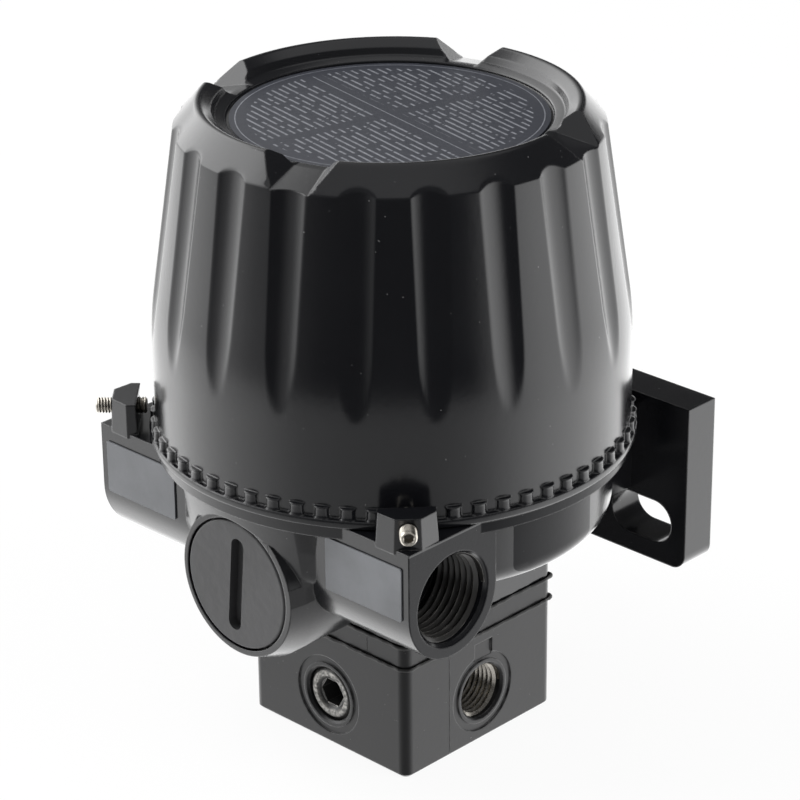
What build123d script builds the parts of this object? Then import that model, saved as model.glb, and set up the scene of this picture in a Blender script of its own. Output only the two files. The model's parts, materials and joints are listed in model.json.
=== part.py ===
from build123d import *
import math
import os

os.makedirs("parts", exist_ok=True)

# Current to pressure converter in an explosion proof die cast case.
# Frame: +Z up along the axis of the screwed cover, X along the two conduit mouths,
# -Y the front with the slotted plug, origin at the bottom of the base block.

# Sizes that most of the others follow
skirt_radius = 56.1
crest_height = 159.0
conduit_height = 61.36
conduit_boss_radius = 14.05

# Clearances
thread_clearance = 0.30
running_clearance = 0.05
seat_gap = 0.20
skin_gap = 0.05

# Base block, the lowest casting
base_width = 51.7
base_front = 23.35
base_back = 28.1
base_height_drop = 32.36
base_height = conduit_height - base_height_drop
base_corner_radius = 2.4
base_edge_chamfer = 0.8
air_port_radius = 6.9
air_port_depth = 14.0
air_port_height_drop = 1.3
air_port_height = base_height / 2 - air_port_height_drop
air_port_shift = 3.2
air_port_mouth_radius = 7.5
spot_face_radius = 10.2
spot_face_depth = 0.4
spot_ring_width = 0.9
hex_plug_sink = 0.7
hex_plug_length = 11.6
hex_plug_chamfer = 0.9
hex_plug_lip = 4.6
hex_plug_key = 6.4
mark_width = 6.0
mark_height = 4.6
mark_depth = 0.5

# Diaphragm sandwich between base block and housing
diaphragm_thickness = 0.6
diaphragm_overhang = 0.35
diaphragm_relief = 1.6
spacer_height = 5.2

# Housing casting
bowl_radius_inset = 4.1
bowl_radius = skirt_radius - bowl_radius_inset
bowl_bottom_drop = 4.36
bowl_bottom = conduit_height - bowl_bottom_drop
bowl_corner = 5.0
bowl_floor = 4.0
rim_radius = skirt_radius
rim_height = 3.0
rim_top_rise = 1.99
rim_top = conduit_height + conduit_boss_radius + rim_top_rise
neck_radius_inset = 5.3
neck_radius = skirt_radius - neck_radius_inset
neck_height = 16.0
cover_bore_room = 2.0
neck_wall = 4.8
cavity_radius = neck_radius - neck_wall
cavity_floor = bowl_bottom + bowl_floor
motor_floor_drop = 7.0
motor_floor = bowl_bottom - motor_floor_drop
motor_well_play = 1.0

# Conduit mouths, half inch pipe thread
conduit_half_length_inset = 5.5
conduit_half_length = skirt_radius - conduit_half_length_inset
conduit_forward_inset = 22.85
conduit_forward = skirt_radius - conduit_forward_inset
conduit_bore_radius = 10.65
conduit_bore_depth = 16.0
conduit_inner_radius = 9.4
conduit_inner_reach = 24.0
conduit_boss_root = 15.0
conduit_lead_in = 0.9

# Front shield and slotted plug
plug_height_drop = 23.3
plug_height = rim_top - plug_height_drop
plug_face_inset = 4.1
plug_face = skirt_radius - plug_face_inset
plug_head_radius = 15.85
plug_head_depth = 3.0
plug_head_gap = 0.45
plug_boss_radius = 19.6
plug_thread_radius = 12.8
plug_thread_length = 9.0
plug_slot_width = 4.0
plug_slot_length = 24.0
plug_slot_depth = 2.4
plug_slot_turn = 5.0
plug_ring_section = 0.9
plug_ring_squeeze = 0.1
plug_face_radius = 17.4
shield_top_half_width = 22.5
shield_root = 22.0
shield_top_radius_inset = 1.3
shield_top_radius = skirt_radius - shield_top_radius_inset
shield_draft = 0.178
chamber_wall = 4.2
filter_bore_radius = 9.0
filter_bore_end = 18.0
chamber_back_wall = 3.0
signal_hole_radius = 1.2
signal_hole_back = 20.5

# Locking lugs and their set screws, on the corners of the conduit bosses
flange_radius_outset = 1.4
flange_radius = skirt_radius + flange_radius_outset
lug_inner_outset = 2.5
lug_inner = flange_radius + lug_inner_outset
lug_outer_outset = 6.4
lug_outer = lug_inner + lug_outer_outset
lug_straight = 2.4
lug_width = 14.0
lug_nose_width = 6.2
lug_height = 10.4
set_screw_radius = 2.0
set_screw_bore_lead = 3.0
set_screw_length = 12.0
set_screw_height_rise = 4.6
set_screw_height = rim_top + set_screw_height_rise
set_screw_tip_gap = 0.6
hex_key_small = 2.0

# Rear pad and mounting bracket
pad_half_width = 31.0
pad_root = 30.0
pad_bottom_drop = 25.0
pad_bottom = rim_top - pad_bottom_drop
bracket_front_inset = 5.1
bracket_front = skirt_radius - bracket_front_inset
bracket_thickness = 9.8
bracket_half_width_inset = 7.8
bracket_half_width = skirt_radius - bracket_half_width_inset
bracket_bottom_drop = 42.1
bracket_bottom = rim_top - bracket_bottom_drop
bracket_top_rise = 1.0
bracket_top = rim_top + bracket_top_rise
bracket_corner = 4.0
bracket_slot_offset = 34.5
bracket_slot_height_rise = 10.5
bracket_slot_height = bracket_bottom + bracket_slot_height_rise
bracket_slot_length = 18.7
bracket_slot_width = 10.9
bracket_relief_gap = 0.8
bracket_screw_offset = 20.0
bracket_screw_height_drop = 15.4
bracket_screw_height = rim_top - bracket_screw_height_drop
bracket_screw_radius = 3.0
bracket_screw_depth = 8.4
bracket_head_radius = 5.0
bracket_head_height = 6.0

# Cover
cover_bottom = rim_top + seat_gap
flange_height = 2.0
skirt_straight_top_rise = 22.6
skirt_straight_top = rim_top + skirt_straight_top_rise
taper_start_rise = 36.6
taper_start = rim_top + taper_start_rise
taper_start_radius_inset = 1.0
taper_start_radius = skirt_radius - taper_start_radius_inset
shoulder_height_drop = 6.4
shoulder_height = crest_height - shoulder_height_drop
shoulder_radius_inset = 6.7
shoulder_radius = skirt_radius - shoulder_radius_inset
crest_outer_radius_inset = 6.0
crest_outer_radius = shoulder_radius - crest_outer_radius_inset
crest_inner_radius_inset = 1.5
crest_inner_radius = crest_outer_radius - crest_inner_radius_inset
recess_radius_inset = 3.7
recess_radius = crest_inner_radius - recess_radius_inset
recess_floor_drop = 5.1
recess_floor = crest_height - recess_floor_drop
step_height_rise = 2.7
step_height = recess_floor + step_height_rise
step_width = 1.1
step_slope = 0.8
label_radius_inset = 1.7
label_radius = recess_radius - label_radius_inset
label_thickness = 0.4
cover_wall = 4.2
cover_ceiling_drop = 4.4
cover_ceiling = recess_floor - cover_ceiling_drop
flute_count = 20
flute_radius = 5.5
flute_depth = 2.05
flute_end_height_rise = 19.1
flute_end_height = rim_top + flute_end_height_rise
flute_run_out = 8.0
notch_count = 4
notch_angle = -72.0
notch_arc = 10.8
notch_inner_height_drop = 4.0
notch_inner_height = crest_height - notch_inner_height_drop
notch_outer_height_drop = 0.3
notch_outer_height = shoulder_height - notch_outer_height_drop
notch_lead = 1.0
tooth_count = 60
tooth_phase = -2.1
tooth_width = 3.5
tooth_height = 2.8
tooth_outer_radius_outset = 1.2
tooth_outer_radius = skirt_radius + tooth_outer_radius_outset
tooth_corner = 1.0
tooth_root = 2.0

# Cover seal, in a groove at the cover's mouth
cover_ring_section = 1.0
cover_ring_height_rise = 4.6
cover_ring_height = rim_top + cover_ring_height_rise
ring_play = 0.15

# Conduit labels
label_start = 25.0
label_end_inset = 2.1
label_end = conduit_half_length - label_end_inset
label_low_drop = 0.96
label_low = conduit_height - label_low_drop
label_high_rise = 12.14
label_high = conduit_height + label_high_rise
label_plate = 0.35

# Screws of the base
base_screw_offset = 20.4
base_screw_radius = 2.5
base_head_radius = 4.25
base_head_height = 5.0
base_screw_reach_rise = 15.0
base_screw_reach = base_height + base_screw_reach_rise
screw_tip_room = 0.6

# Booster valve in the base block
valve_cavity_radius = 8.5
valve_floor_drop = 8.5
valve_floor = base_height / 2 - valve_floor_drop
seat_height_drop = 11.0
seat_height = base_height - seat_height_drop
seat_thickness = 3.0
seat_hole_radius = 3.2
poppet_radius = 4.6
poppet_height = 3.0
poppet_guide_radius = 2.0
stem_radius = 1.5
spring_radius = 3.6
spring_wire = 0.35
spring_turns = 5
plate_radius = 12.0
plate_thickness = 1.4
chamber_radius = 17.0
chamber_depth = 3.4
stem_travel = 0.8

# Circuit boards
post_circle_inset = 8.0
post_circle = cavity_radius - post_circle_inset
post_radius = 4.0
post_root = 2.0
board_radius_inset = 3.5
board_radius = cavity_radius - board_radius_inset
board_height_rise = 0.6
board_height = rim_top + board_height_rise
board_thickness = 1.6
board_hole_radius = 1.7
upper_board_radius_inset = 3.0
upper_board_radius = cavity_radius - upper_board_radius_inset
upper_board_height_rise = 38.0
upper_board_height = board_height + upper_board_height_rise
stud_flats = 5.5
stud_thread_radius = 1.5
stud_thread_length = 6.0
board_screw_radius = 1.5
board_screw_head_radius = 2.9
board_screw_head_height = 1.9
board_screw_depth = 6.0

# Force motor with its flapper
beam_height_drop = 5.0
beam_height = board_height - beam_height_drop
motor_back = 10.0
pot_radius = 14.0
pot_height_drop = 4.0
pot_height = beam_height - motor_floor - pot_height_drop
pot_wall = 3.4
pot_base = 3.0
magnet_radius = 6.0
magnet_height_drop = 14.2
magnet_height = beam_height - motor_floor - magnet_height_drop
pole_radius = 6.6
pole_height = 5.0
coil_inner_radius = 7.3
former_wall = 0.6
former_flange = 1.0
former_height_drop = 8.0
former_height = beam_height - motor_floor - former_height_drop
winding_thickness = 1.2
winding_height_drop = 0.5
winding_height = former_height / 2 - winding_height_drop
beam_thickness = 0.9
beam_width = 8.0
beam_nose = 3.0
hub_radius = 2.6
pivot_back = 33.0
pivot_radius = 1.0
pivot_block_width = 15.0
pivot_block_depth = 8.0
pivot_ear_play = 0.6
nozzle_front_inset = 12.0
nozzle_front = post_circle - nozzle_front_inset
nozzle_gap = 0.4
nozzle_radius = 2.2
nozzle_bore = 0.5

# Pressure sensor and earth screw
sensor_across = -24.0
sensor_back = 8.0
sensor_radius = 4.6
sensor_height = 7.0
sensor_tube_radius = 2.2
sensor_tube_bore = 1.0
earth_across = 26.0
earth_front = 2.0
earth_post_radius = 4.6
earth_post_height = 4.0
earth_screw_radius = 2.0
earth_head_radius = 3.6
earth_head_height = 2.4
earth_washer_radius = 4.4
earth_washer_thickness = 0.8

# Parts on the upper board
terminal_length = 26.0
terminal_depth = 12.0
terminal_height = 11.0
terminal_back = 16.0
terminal_pitch = 8.4
terminal_screw_radius = 2.0
terminal_screw_length = 5.0
wire_hole_radius = 1.8
trimmer_across = 15.0
trimmer_front = 14.0
trimmer_length = 9.6
trimmer_width = 5.0
trimmer_height = 10.0
trimmer_screw_radius = 1.2
trimmer_screw_length = 3.0
trimmer_screw_shift = 3.2
capacitor_radius = 4.0
capacitor_height = 11.5
capacitor_spacing = 9.6
capacitor_front = 24.0

# Values worked out from the ones above
base_depth = base_front + base_back
base_middle = (base_back - base_front) / 2
spacer_bottom = base_height + diaphragm_thickness
spacer_top = spacer_bottom + spacer_height
foot_bottom = spacer_top + diaphragm_thickness
rim_bottom = rim_top - rim_height
neck_top = rim_top + neck_height
lug_angle = -math.degrees(math.atan2(conduit_forward + conduit_boss_radius, conduit_half_length))
boss_front = conduit_forward + conduit_boss_radius
cover_bore_radius = neck_radius + thread_clearance
cover_bore_top = neck_top + cover_bore_room
board_top = board_height + board_thickness
upper_board_top = upper_board_height + board_thickness
beam_middle = beam_height + beam_thickness / 2


def diagonal(side, reach, height):
    """A plane whose Z runs outwards along the corner of one conduit boss, side +1 or -1."""
    angle = math.radians(lug_angle)
    outwards = Vector(side * math.cos(angle), math.sin(angle), 0)
    across = Vector(-outwards.Y, outwards.X, 0)
    start = outwards * reach + Vector(0, 0, height)
    return Plane(origin=start, x_dir=across, z_dir=outwards)


# Base block with two open air ports, a plugged gauge port and the valve cavity
with BuildPart() as base_block:
    with BuildSketch(Plane.XY):
        with Locations((0, base_middle)):
            RectangleRounded(base_width, base_depth, base_corner_radius)
    extrude(amount=base_height)
    chamfer(base_block.faces().sort_by(Axis.Z)[0].outer_wire().edges(), base_edge_chamfer)
    for side in (1, -1):
        face = Plane(
            origin=(side * base_width / 2, air_port_shift, air_port_height),
            x_dir=(0, side, 0),
            z_dir=(side, 0, 0),
        )
        with BuildSketch(face):
            Circle(spot_face_radius)
            Circle(air_port_mouth_radius + spot_ring_width, mode=Mode.SUBTRACT)
        extrude(amount=-spot_face_depth, mode=Mode.SUBTRACT)
        with Locations(face):
            CounterSinkHole(air_port_radius, air_port_mouth_radius, air_port_depth, 90)
        with BuildSketch(face):
            Circle(air_port_radius / 2)
        extrude(amount=-base_width / 2, mode=Mode.SUBTRACT)
    front = Plane(origin=(0, -base_front, air_port_height), x_dir=(1, 0, 0), z_dir=(0, -1, 0))
    with BuildSketch(front):
        Circle(spot_face_radius)
        Circle(air_port_mouth_radius + spot_ring_width, mode=Mode.SUBTRACT)
    extrude(amount=-spot_face_depth, mode=Mode.SUBTRACT)
    with Locations(front):
        CounterSinkHole(air_port_radius, air_port_mouth_radius, air_port_depth, 90)
    mark = Plane(
        origin=(base_width / 2, air_port_shift + 0.4, base_height - mark_height),
        x_dir=(0, 1, 0),
        z_dir=(1, 0, 0),
    )
    with BuildSketch(mark):
        Rectangle(mark_width, mark_height)
    extrude(amount=-mark_depth, mode=Mode.SUBTRACT)
    with BuildSketch(Plane.XY.offset(base_height)):
        with Locations((0, base_middle)):
            Circle(valve_cavity_radius)
    extrude(amount=valve_floor - base_height, mode=Mode.SUBTRACT)
    with BuildSketch(Plane.XY.offset(base_height)):
        with Locations((0, base_middle)):
            Circle(chamber_radius)
    extrude(amount=-chamber_depth, mode=Mode.SUBTRACT)
    with Locations((0, base_middle, 0)):
        with GridLocations(2 * base_screw_offset, 2 * base_screw_offset, 2, 2):
            Cylinder(
                base_screw_radius + thread_clearance,
                base_height,
                align=(Align.CENTER, Align.CENTER, Align.MIN),
                mode=Mode.SUBTRACT,
            )
            Cylinder(
                base_head_radius + thread_clearance,
                base_head_height + seat_gap,
                align=(Align.CENTER, Align.CENTER, Align.MIN),
                mode=Mode.SUBTRACT,
            )
base_block.part.label = "base_block"
export_step(base_block.part, "parts/base_block.step")

# Rubber diaphragms clamped above and below the spacer
for name, bottom in (("lower_diaphragm", base_height), ("upper_diaphragm", spacer_top)):
    with BuildPart() as diaphragm:
        with BuildSketch(Plane.XY.offset(bottom)):
            with Locations((0, base_middle)):
                RectangleRounded(
                    base_width + 2 * diaphragm_overhang,
                    base_depth + 2 * diaphragm_overhang,
                    base_corner_radius,
                )
                Circle(stem_radius, mode=Mode.SUBTRACT)
                with GridLocations(2 * base_screw_offset, 2 * base_screw_offset, 2, 2):
                    Circle(base_screw_radius + thread_clearance, mode=Mode.SUBTRACT)
        extrude(amount=diaphragm_thickness)
    diaphragm.part.label = name
    export_step(diaphragm.part, "parts/" + name + ".step")

# Spacer block between the diaphragms, with a vent in its side
with BuildPart() as spacer_block:
    with BuildSketch(Plane.XY.offset(spacer_bottom)):
        with Locations((0, base_middle)):
            RectangleRounded(base_width, base_depth, base_corner_radius)
            Circle(chamber_radius, mode=Mode.SUBTRACT)
            with GridLocations(2 * base_screw_offset, 2 * base_screw_offset, 2, 2):
                Circle(base_screw_radius + thread_clearance, mode=Mode.SUBTRACT)
    extrude(amount=spacer_height)
    vent = Plane(
        origin=(0, base_back, spacer_bottom + spacer_height / 2), x_dir=(1, 0, 0), z_dir=(0, 1, 0)
    )
    with BuildSketch(vent):
        Circle(signal_hole_radius)
    extrude(amount=-(base_depth / 2 - chamber_radius + 1), mode=Mode.SUBTRACT)
spacer_block.part.label = "spacer_block"
export_step(spacer_block.part, "parts/spacer_block.step")

# Seat ring pressed into the valve cavity
with BuildPart() as valve_seat:
    with BuildSketch(Plane.XY.offset(seat_height)):
        with Locations((0, base_middle)):
            Circle(valve_cavity_radius)
            Circle(seat_hole_radius, mode=Mode.SUBTRACT)
    extrude(amount=seat_thickness)
valve_seat.part.label = "valve_seat"
export_step(valve_seat.part, "parts/valve_seat.step")

# Poppet that closes the seat from below
with BuildPart() as supply_poppet:
    with BuildSketch(Plane.XY.offset(seat_height - seat_gap - poppet_height)):
        with Locations((0, base_middle)):
            Circle(poppet_radius)
    extrude(amount=poppet_height)
    with BuildSketch(Plane.XY.offset(valve_floor + stem_travel + seat_gap)):
        with Locations((0, base_middle)):
            Circle(poppet_guide_radius)
    extrude(until=Until.NEXT)
supply_poppet.part.label = "supply_poppet"
export_step(supply_poppet.part, "parts/supply_poppet.step")

# Poppet spring, standing on the floor of the valve cavity
spring_length = seat_height - seat_gap - poppet_height - valve_floor - 2 * spring_wire
with BuildPart() as poppet_spring:
    with BuildLine() as coil:
        Helix(
            pitch=spring_length / spring_turns,
            height=spring_length,
            radius=spring_radius,
            center=(0, base_middle, valve_floor + spring_wire),
        )
    with BuildSketch(Plane(origin=coil.line @ 0, z_dir=coil.line % 0)):
        Circle(spring_wire)
    sweep(is_frenet=True)
poppet_spring.part.label = "poppet_spring"
export_step(poppet_spring.part, "parts/poppet_spring.step")

# Stem from the poppet up through both diaphragms
stem_bottom = seat_height - seat_gap + skin_gap
with BuildPart() as valve_stem:
    with BuildSketch(Plane.XY.offset(stem_bottom)):
        with Locations((0, base_middle)):
            Circle(stem_radius)
    extrude(amount=foot_bottom + plate_thickness + 1.0 - stem_bottom)
valve_stem.part.label = "valve_stem"
export_step(valve_stem.part, "parts/valve_stem.step")

# Stiff plates on the diaphragms
for name, bottom in (
    ("lower_plate", base_height - plate_thickness),
    ("upper_plate", foot_bottom),
):
    with BuildPart() as plate:
        with BuildSketch(Plane.XY.offset(bottom)):
            with Locations((0, base_middle)):
                Circle(plate_radius)
                Circle(stem_radius, mode=Mode.SUBTRACT)
        extrude(amount=plate_thickness)
    plate.part.label = name
    export_step(plate.part, "parts/" + name + ".step")

# Four long screws that hold base block and spacer under the housing
with BuildPart() as base_screws:
    with Locations((0, base_middle, 0)):
        with GridLocations(2 * base_screw_offset, 2 * base_screw_offset, 2, 2):
            with Locations((0, 0, base_head_height + seat_gap - 0.02)):
                Cylinder(
                    base_screw_radius,
                    base_screw_reach - base_head_height - seat_gap,
                    align=(Align.CENTER, Align.CENTER, Align.MIN),
                )
            with Locations((0, 0, seat_gap)):
                Cylinder(
                    base_head_radius,
                    base_head_height,
                    align=(Align.CENTER, Align.CENTER, Align.MIN),
                )
    with BuildSketch(Plane.XY.offset(seat_gap)):
        with Locations((0, base_middle)):
            with GridLocations(2 * base_screw_offset, 2 * base_screw_offset, 2, 2):
                RegularPolygon(hex_key_small, 6, major_radius=False)
    extrude(amount=base_head_height / 2, mode=Mode.SUBTRACT)
base_screws.part.label = "base_screws"
export_step(base_screws.part, "parts/base_screws.step")

# Hex socket pipe plug in the gauge port
with BuildPart() as hex_plug:
    with BuildSketch(front.offset(-hex_plug_sink)):
        Circle(air_port_radius - running_clearance)
    extrude(amount=-hex_plug_length)
    chamfer(hex_plug.faces().sort_by(Axis.Y)[0].edges(), hex_plug_chamfer)
    with BuildSketch(front.offset(-hex_plug_sink)):
        Circle(hex_plug_lip)
    extrude(amount=-hex_plug_chamfer, taper=45, mode=Mode.SUBTRACT)
    with BuildSketch(front.offset(-hex_plug_sink)):
        RegularPolygon(hex_plug_key / 2, 6, major_radius=False)
    extrude(amount=-hex_plug_length / 2, mode=Mode.SUBTRACT)
hex_plug.part.label = "hex_plug"
export_step(hex_plug.part, "parts/hex_plug.step")

# Front shield of the housing: a tapered slice of the bowl that carries the slotted plug
with BuildPart() as shield:
    with BuildSketch(Plane.XZ.offset(shield_root)):
        with BuildLine():
            Line((-plug_boss_radius, plug_height), (-shield_top_half_width, rim_bottom + 1.0))
            Line(
                (-shield_top_half_width, rim_bottom + 1.0),
                (shield_top_half_width, rim_bottom + 1.0),
            )
            Line((shield_top_half_width, rim_bottom + 1.0), (plug_boss_radius, plug_height))
            CenterArc((0, plug_height), plug_boss_radius, 0, -180)
        make_face()
    extrude(amount=rim_radius - shield_root)
    with BuildSketch(Plane.XZ):
        with BuildLine():
            Polyline(
                (0, 0),
                (shield_top_radius - shield_draft * rim_top, 0),
                (shield_top_radius, rim_top),
                (0, rim_top),
                close=True,
            )
        make_face()
    revolve(axis=Axis.Z, mode=Mode.INTERSECT)

# Housing: flat bottomed bowl on a square foot, with conduit bosses, shield, lugs, neck and rear pad
with BuildPart() as housing:
    with BuildSketch(Plane.XY.offset(bowl_bottom)):
        Circle(bowl_radius)
    extrude(amount=rim_bottom - bowl_bottom)
    fillet(housing.edges().group_by(Axis.Z)[0], bowl_corner)
    with BuildSketch(Plane.XY.offset(foot_bottom)):
        with Locations((0, base_middle)):
            RectangleRounded(base_width, base_depth, base_corner_radius)
    extrude(amount=bowl_bottom + bowl_floor / 2 - foot_bottom)
    with BuildSketch(Plane.XY.offset(rim_bottom)):
        Circle(rim_radius)
    extrude(amount=rim_height)
    add(shield.part)
    with BuildSketch(Plane.XZ.offset(shield_root)):
        with Locations((0, plug_height)):
            Circle(plug_boss_radius)
    extrude(amount=plug_face - shield_root)
    with BuildSketch(Plane.XZ.offset(plug_face)):
        with Locations((0, plug_height)):
            Circle(plug_face_radius)
    extrude(amount=rim_radius - plug_face, mode=Mode.SUBTRACT)
    with BuildSketch(Plane.XY.offset(foot_bottom)):
        with Locations((0, base_middle)):
            Rectangle(
                base_width + 2 * diaphragm_overhang + 2 * seat_gap,
                base_depth + 2 * diaphragm_overhang + 2 * seat_gap,
            )
    extrude(amount=-diaphragm_relief, mode=Mode.SUBTRACT)
    for side in (1, -1):
        root = Plane(
            origin=(side * conduit_boss_root, -conduit_forward, 0), x_dir=(0, 1, 0), z_dir=(1, 0, 0)
        )
        with BuildSketch(root):
            with Locations((0, conduit_height)):
                Circle(conduit_boss_radius)
            with Locations((0, (conduit_height + rim_top) / 2)):
                Rectangle(2 * conduit_boss_radius, rim_top - conduit_height)
        extrude(amount=side * (conduit_half_length - conduit_boss_root))
        with BuildSketch(Plane.XY.offset(rim_top - 1.0)):
            with BuildLine():
                Polyline(
                    diagonal(side, lug_inner, 0).from_local_coords(Vector(-lug_width / 2, 0, 0)),
                    diagonal(side, lug_inner, 0).from_local_coords(Vector(lug_width / 2, 0, 0)),
                    diagonal(side, lug_inner + lug_straight, 0).from_local_coords(
                        Vector(lug_width / 2, 0, 0)
                    ),
                    diagonal(side, lug_outer, 0).from_local_coords(
                        Vector(lug_nose_width / 2, 0, 0)
                    ),
                    diagonal(side, lug_outer, 0).from_local_coords(
                        Vector(-lug_nose_width / 2, 0, 0)
                    ),
                    diagonal(side, lug_inner + lug_straight, 0).from_local_coords(
                        Vector(-lug_width / 2, 0, 0)
                    ),
                    close=True,
                )
            make_face()
        extrude(amount=lug_height + 1.0)
    with BuildSketch(Plane.XZ.offset(-pad_root)):
        with BuildLine():
            Polyline(
                (-pad_half_width, pad_bottom),
                (pad_half_width, pad_bottom),
                (pad_half_width, rim_bottom),
                (-pad_half_width, rim_bottom),
                close=True,
            )
        make_face()
    extrude(amount=pad_root - bracket_front)
    with BuildSketch(Plane.XY.offset(rim_top)):
        Circle(neck_radius)
    extrude(amount=neck_height)
    with BuildSketch(Plane.XY.offset(cavity_floor)):
        Circle(cavity_radius)
    extrude(amount=neck_top - cavity_floor, mode=Mode.SUBTRACT)
    with BuildSketch(Plane.XY.offset(motor_floor)):
        with Locations((0, motor_back)):
            Circle(pot_radius + motor_well_play)
    extrude(amount=cavity_floor - motor_floor, mode=Mode.SUBTRACT)
    with BuildSketch(Plane.XZ.offset(filter_bore_end - chamber_back_wall)):
        with Locations((0, plug_height)):
            Circle(plug_thread_radius + chamber_wall)
    extrude(amount=cavity_radius - filter_bore_end + chamber_back_wall)
    with BuildSketch(Plane.XY.offset(cavity_floor - post_root)):
        with PolarLocations(post_circle, 3, 30):
            Circle(post_radius)
    extrude(amount=board_height - cavity_floor + post_root)
    with BuildSketch(Plane.XY.offset(cavity_floor - post_root)):
        with Locations((earth_across, -earth_front)):
            Circle(earth_post_radius)
    extrude(amount=earth_post_height + post_root)
    with BuildSketch(Plane.XY.offset(cavity_floor + earth_post_height)):
        with Locations((earth_across, -earth_front)):
            Circle(earth_screw_radius + running_clearance)
    extrude(amount=-earth_post_height - 1.5, mode=Mode.SUBTRACT)
    with BuildSketch(Plane.XZ.offset(-bracket_front)):
        with Locations((0, rim_bottom / 2)):
            Rectangle(4 * bowl_radius, rim_bottom)
    extrude(amount=-bracket_thickness, mode=Mode.SUBTRACT)
    with BuildSketch(Plane.XZ.offset(plug_face)):
        with Locations((0, plug_height)):
            Circle(plug_head_radius + plug_head_gap)
    extrude(amount=-plug_head_depth - seat_gap, mode=Mode.SUBTRACT)
    with BuildSketch(Plane.XZ.offset(plug_face)):
        with Locations((0, plug_height)):
            Circle(plug_thread_radius + thread_clearance)
    extrude(amount=-plug_head_depth - plug_thread_length - seat_gap, mode=Mode.SUBTRACT)
    with BuildSketch(Plane.XZ.offset(plug_face)):
        with Locations((0, plug_height)):
            Circle(filter_bore_radius)
    extrude(amount=filter_bore_end - plug_face, mode=Mode.SUBTRACT)
    with BuildSketch(Plane.XY.offset(foot_bottom)):
        with Locations((0, -signal_hole_back)):
            Circle(signal_hole_radius)
    extrude(amount=plug_height - foot_bottom, mode=Mode.SUBTRACT)
    with BuildSketch(Plane.XY.offset(plug_height)):
        with Locations((0, -nozzle_front)):
            Circle(nozzle_radius)
    extrude(amount=plug_height / 2, mode=Mode.SUBTRACT)
    with BuildSketch(Plane.XY.offset(foot_bottom)):
        with Locations((0, base_middle)):
            Circle(chamber_radius)
    extrude(amount=chamber_depth, mode=Mode.SUBTRACT)
    with BuildSketch(Plane.XY.offset(foot_bottom)):
        with Locations((0, base_middle)):
            with GridLocations(2 * base_screw_offset, 2 * base_screw_offset, 2, 2):
                Circle(base_screw_radius + running_clearance)
    extrude(amount=base_screw_reach + screw_tip_room - foot_bottom, mode=Mode.SUBTRACT)
    for side in (1, -1):
        mouth = Plane(
            origin=(side * conduit_half_length, -conduit_forward, conduit_height),
            x_dir=(0, side, 0),
            z_dir=(side, 0, 0),
        )
        with Locations(mouth):
            CounterSinkHole(
                conduit_bore_radius, conduit_bore_radius + conduit_lead_in, conduit_bore_depth, 90
            )
        with BuildSketch(mouth):
            Circle(conduit_inner_radius)
        extrude(amount=conduit_inner_reach - conduit_half_length, mode=Mode.SUBTRACT)
        with BuildSketch(diagonal(side, lug_inner - set_screw_bore_lead, set_screw_height)):
            Circle(set_screw_radius + running_clearance)
        extrude(amount=lug_outer - lug_inner + 2 * set_screw_bore_lead, mode=Mode.SUBTRACT)
    with BuildSketch(Plane.XY.offset(board_height)):
        with PolarLocations(post_circle, 3, 30):
            Circle(stud_thread_radius + running_clearance)
    extrude(amount=-stud_thread_length - 1.0, mode=Mode.SUBTRACT)
    with BuildSketch(Plane.XZ.offset(-bracket_front)):
        with Locations((0, bracket_screw_height)):
            with GridLocations(2 * bracket_screw_offset, 1.0, 2, 1):
                Circle(bracket_screw_radius + running_clearance)
    extrude(amount=bracket_screw_depth, mode=Mode.SUBTRACT)
housing.part.label = "housing"
export_step(housing.part, "parts/housing.step")

# Flat grey plates on the fronts of the conduit bosses
for name, side in (("label_right", 1), ("label_left", -1)):
    with BuildPart() as conduit_label:
        with BuildSketch(Plane.XZ.offset(boss_front + skin_gap)):
            with Locations((side * (label_start + label_end) / 2, (label_low + label_high) / 2)):
                RectangleRounded(label_end - label_start, label_high - label_low, 0.6)
        extrude(amount=label_plate)
    conduit_label.part.label = name
    export_step(conduit_label.part, "parts/" + name + ".step")

# Set screws in the lugs, backed out as found
for name, side in (("set_screw_right", 1), ("set_screw_left", -1)):
    tip = diagonal(side, flange_radius + set_screw_tip_gap, set_screw_height)
    with BuildPart() as set_screw:
        with BuildSketch(tip):
            Circle(set_screw_radius)
        extrude(amount=set_screw_length)
        chamfer(set_screw.edges().filter_by(GeomType.CIRCLE), 0.35)
        with BuildSketch(tip.offset(set_screw_length)):
            RegularPolygon(hex_key_small / 2, 6, major_radius=False)
        extrude(amount=-2.5, mode=Mode.SUBTRACT)
    set_screw.part.label = name
    export_step(set_screw.part, "parts/" + name + ".step")

# Slotted plug with a screwdriver slot across its head
plug_plane = Plane.XZ.offset(plug_face - plug_head_depth)
with BuildPart() as slotted_plug:
    with BuildSketch(plug_plane):
        with Locations((0, plug_height)):
            Circle(plug_head_radius)
    extrude(amount=plug_head_depth)
    fillet(slotted_plug.faces().sort_by(Axis.Y)[0].edges(), 0.6)
    with BuildSketch(plug_plane):
        with Locations((0, plug_height)):
            Circle(plug_thread_radius)
    extrude(amount=-plug_thread_length)
    with BuildSketch(plug_plane.offset(plug_head_depth)):
        with Locations((0, plug_height)):
            with Locations(Rotation(0, 0, -plug_slot_turn)):
                SlotOverall(plug_slot_length, plug_slot_width, rotation=90)
    extrude(amount=-plug_slot_depth, mode=Mode.SUBTRACT)
    groove_low = plug_thread_radius - 2 * plug_ring_section + plug_ring_squeeze
    with BuildSketch(plug_plane.offset(-1.0 - 2 * plug_ring_section - seat_gap)):
        with Locations((0, plug_height)):
            Circle(plug_thread_radius + 1.0)
            Circle(groove_low, mode=Mode.SUBTRACT)
    extrude(amount=2 * plug_ring_section + seat_gap, mode=Mode.SUBTRACT)
slotted_plug.part.label = "slotted_plug"
export_step(slotted_plug.part, "parts/slotted_plug.step")

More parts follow.
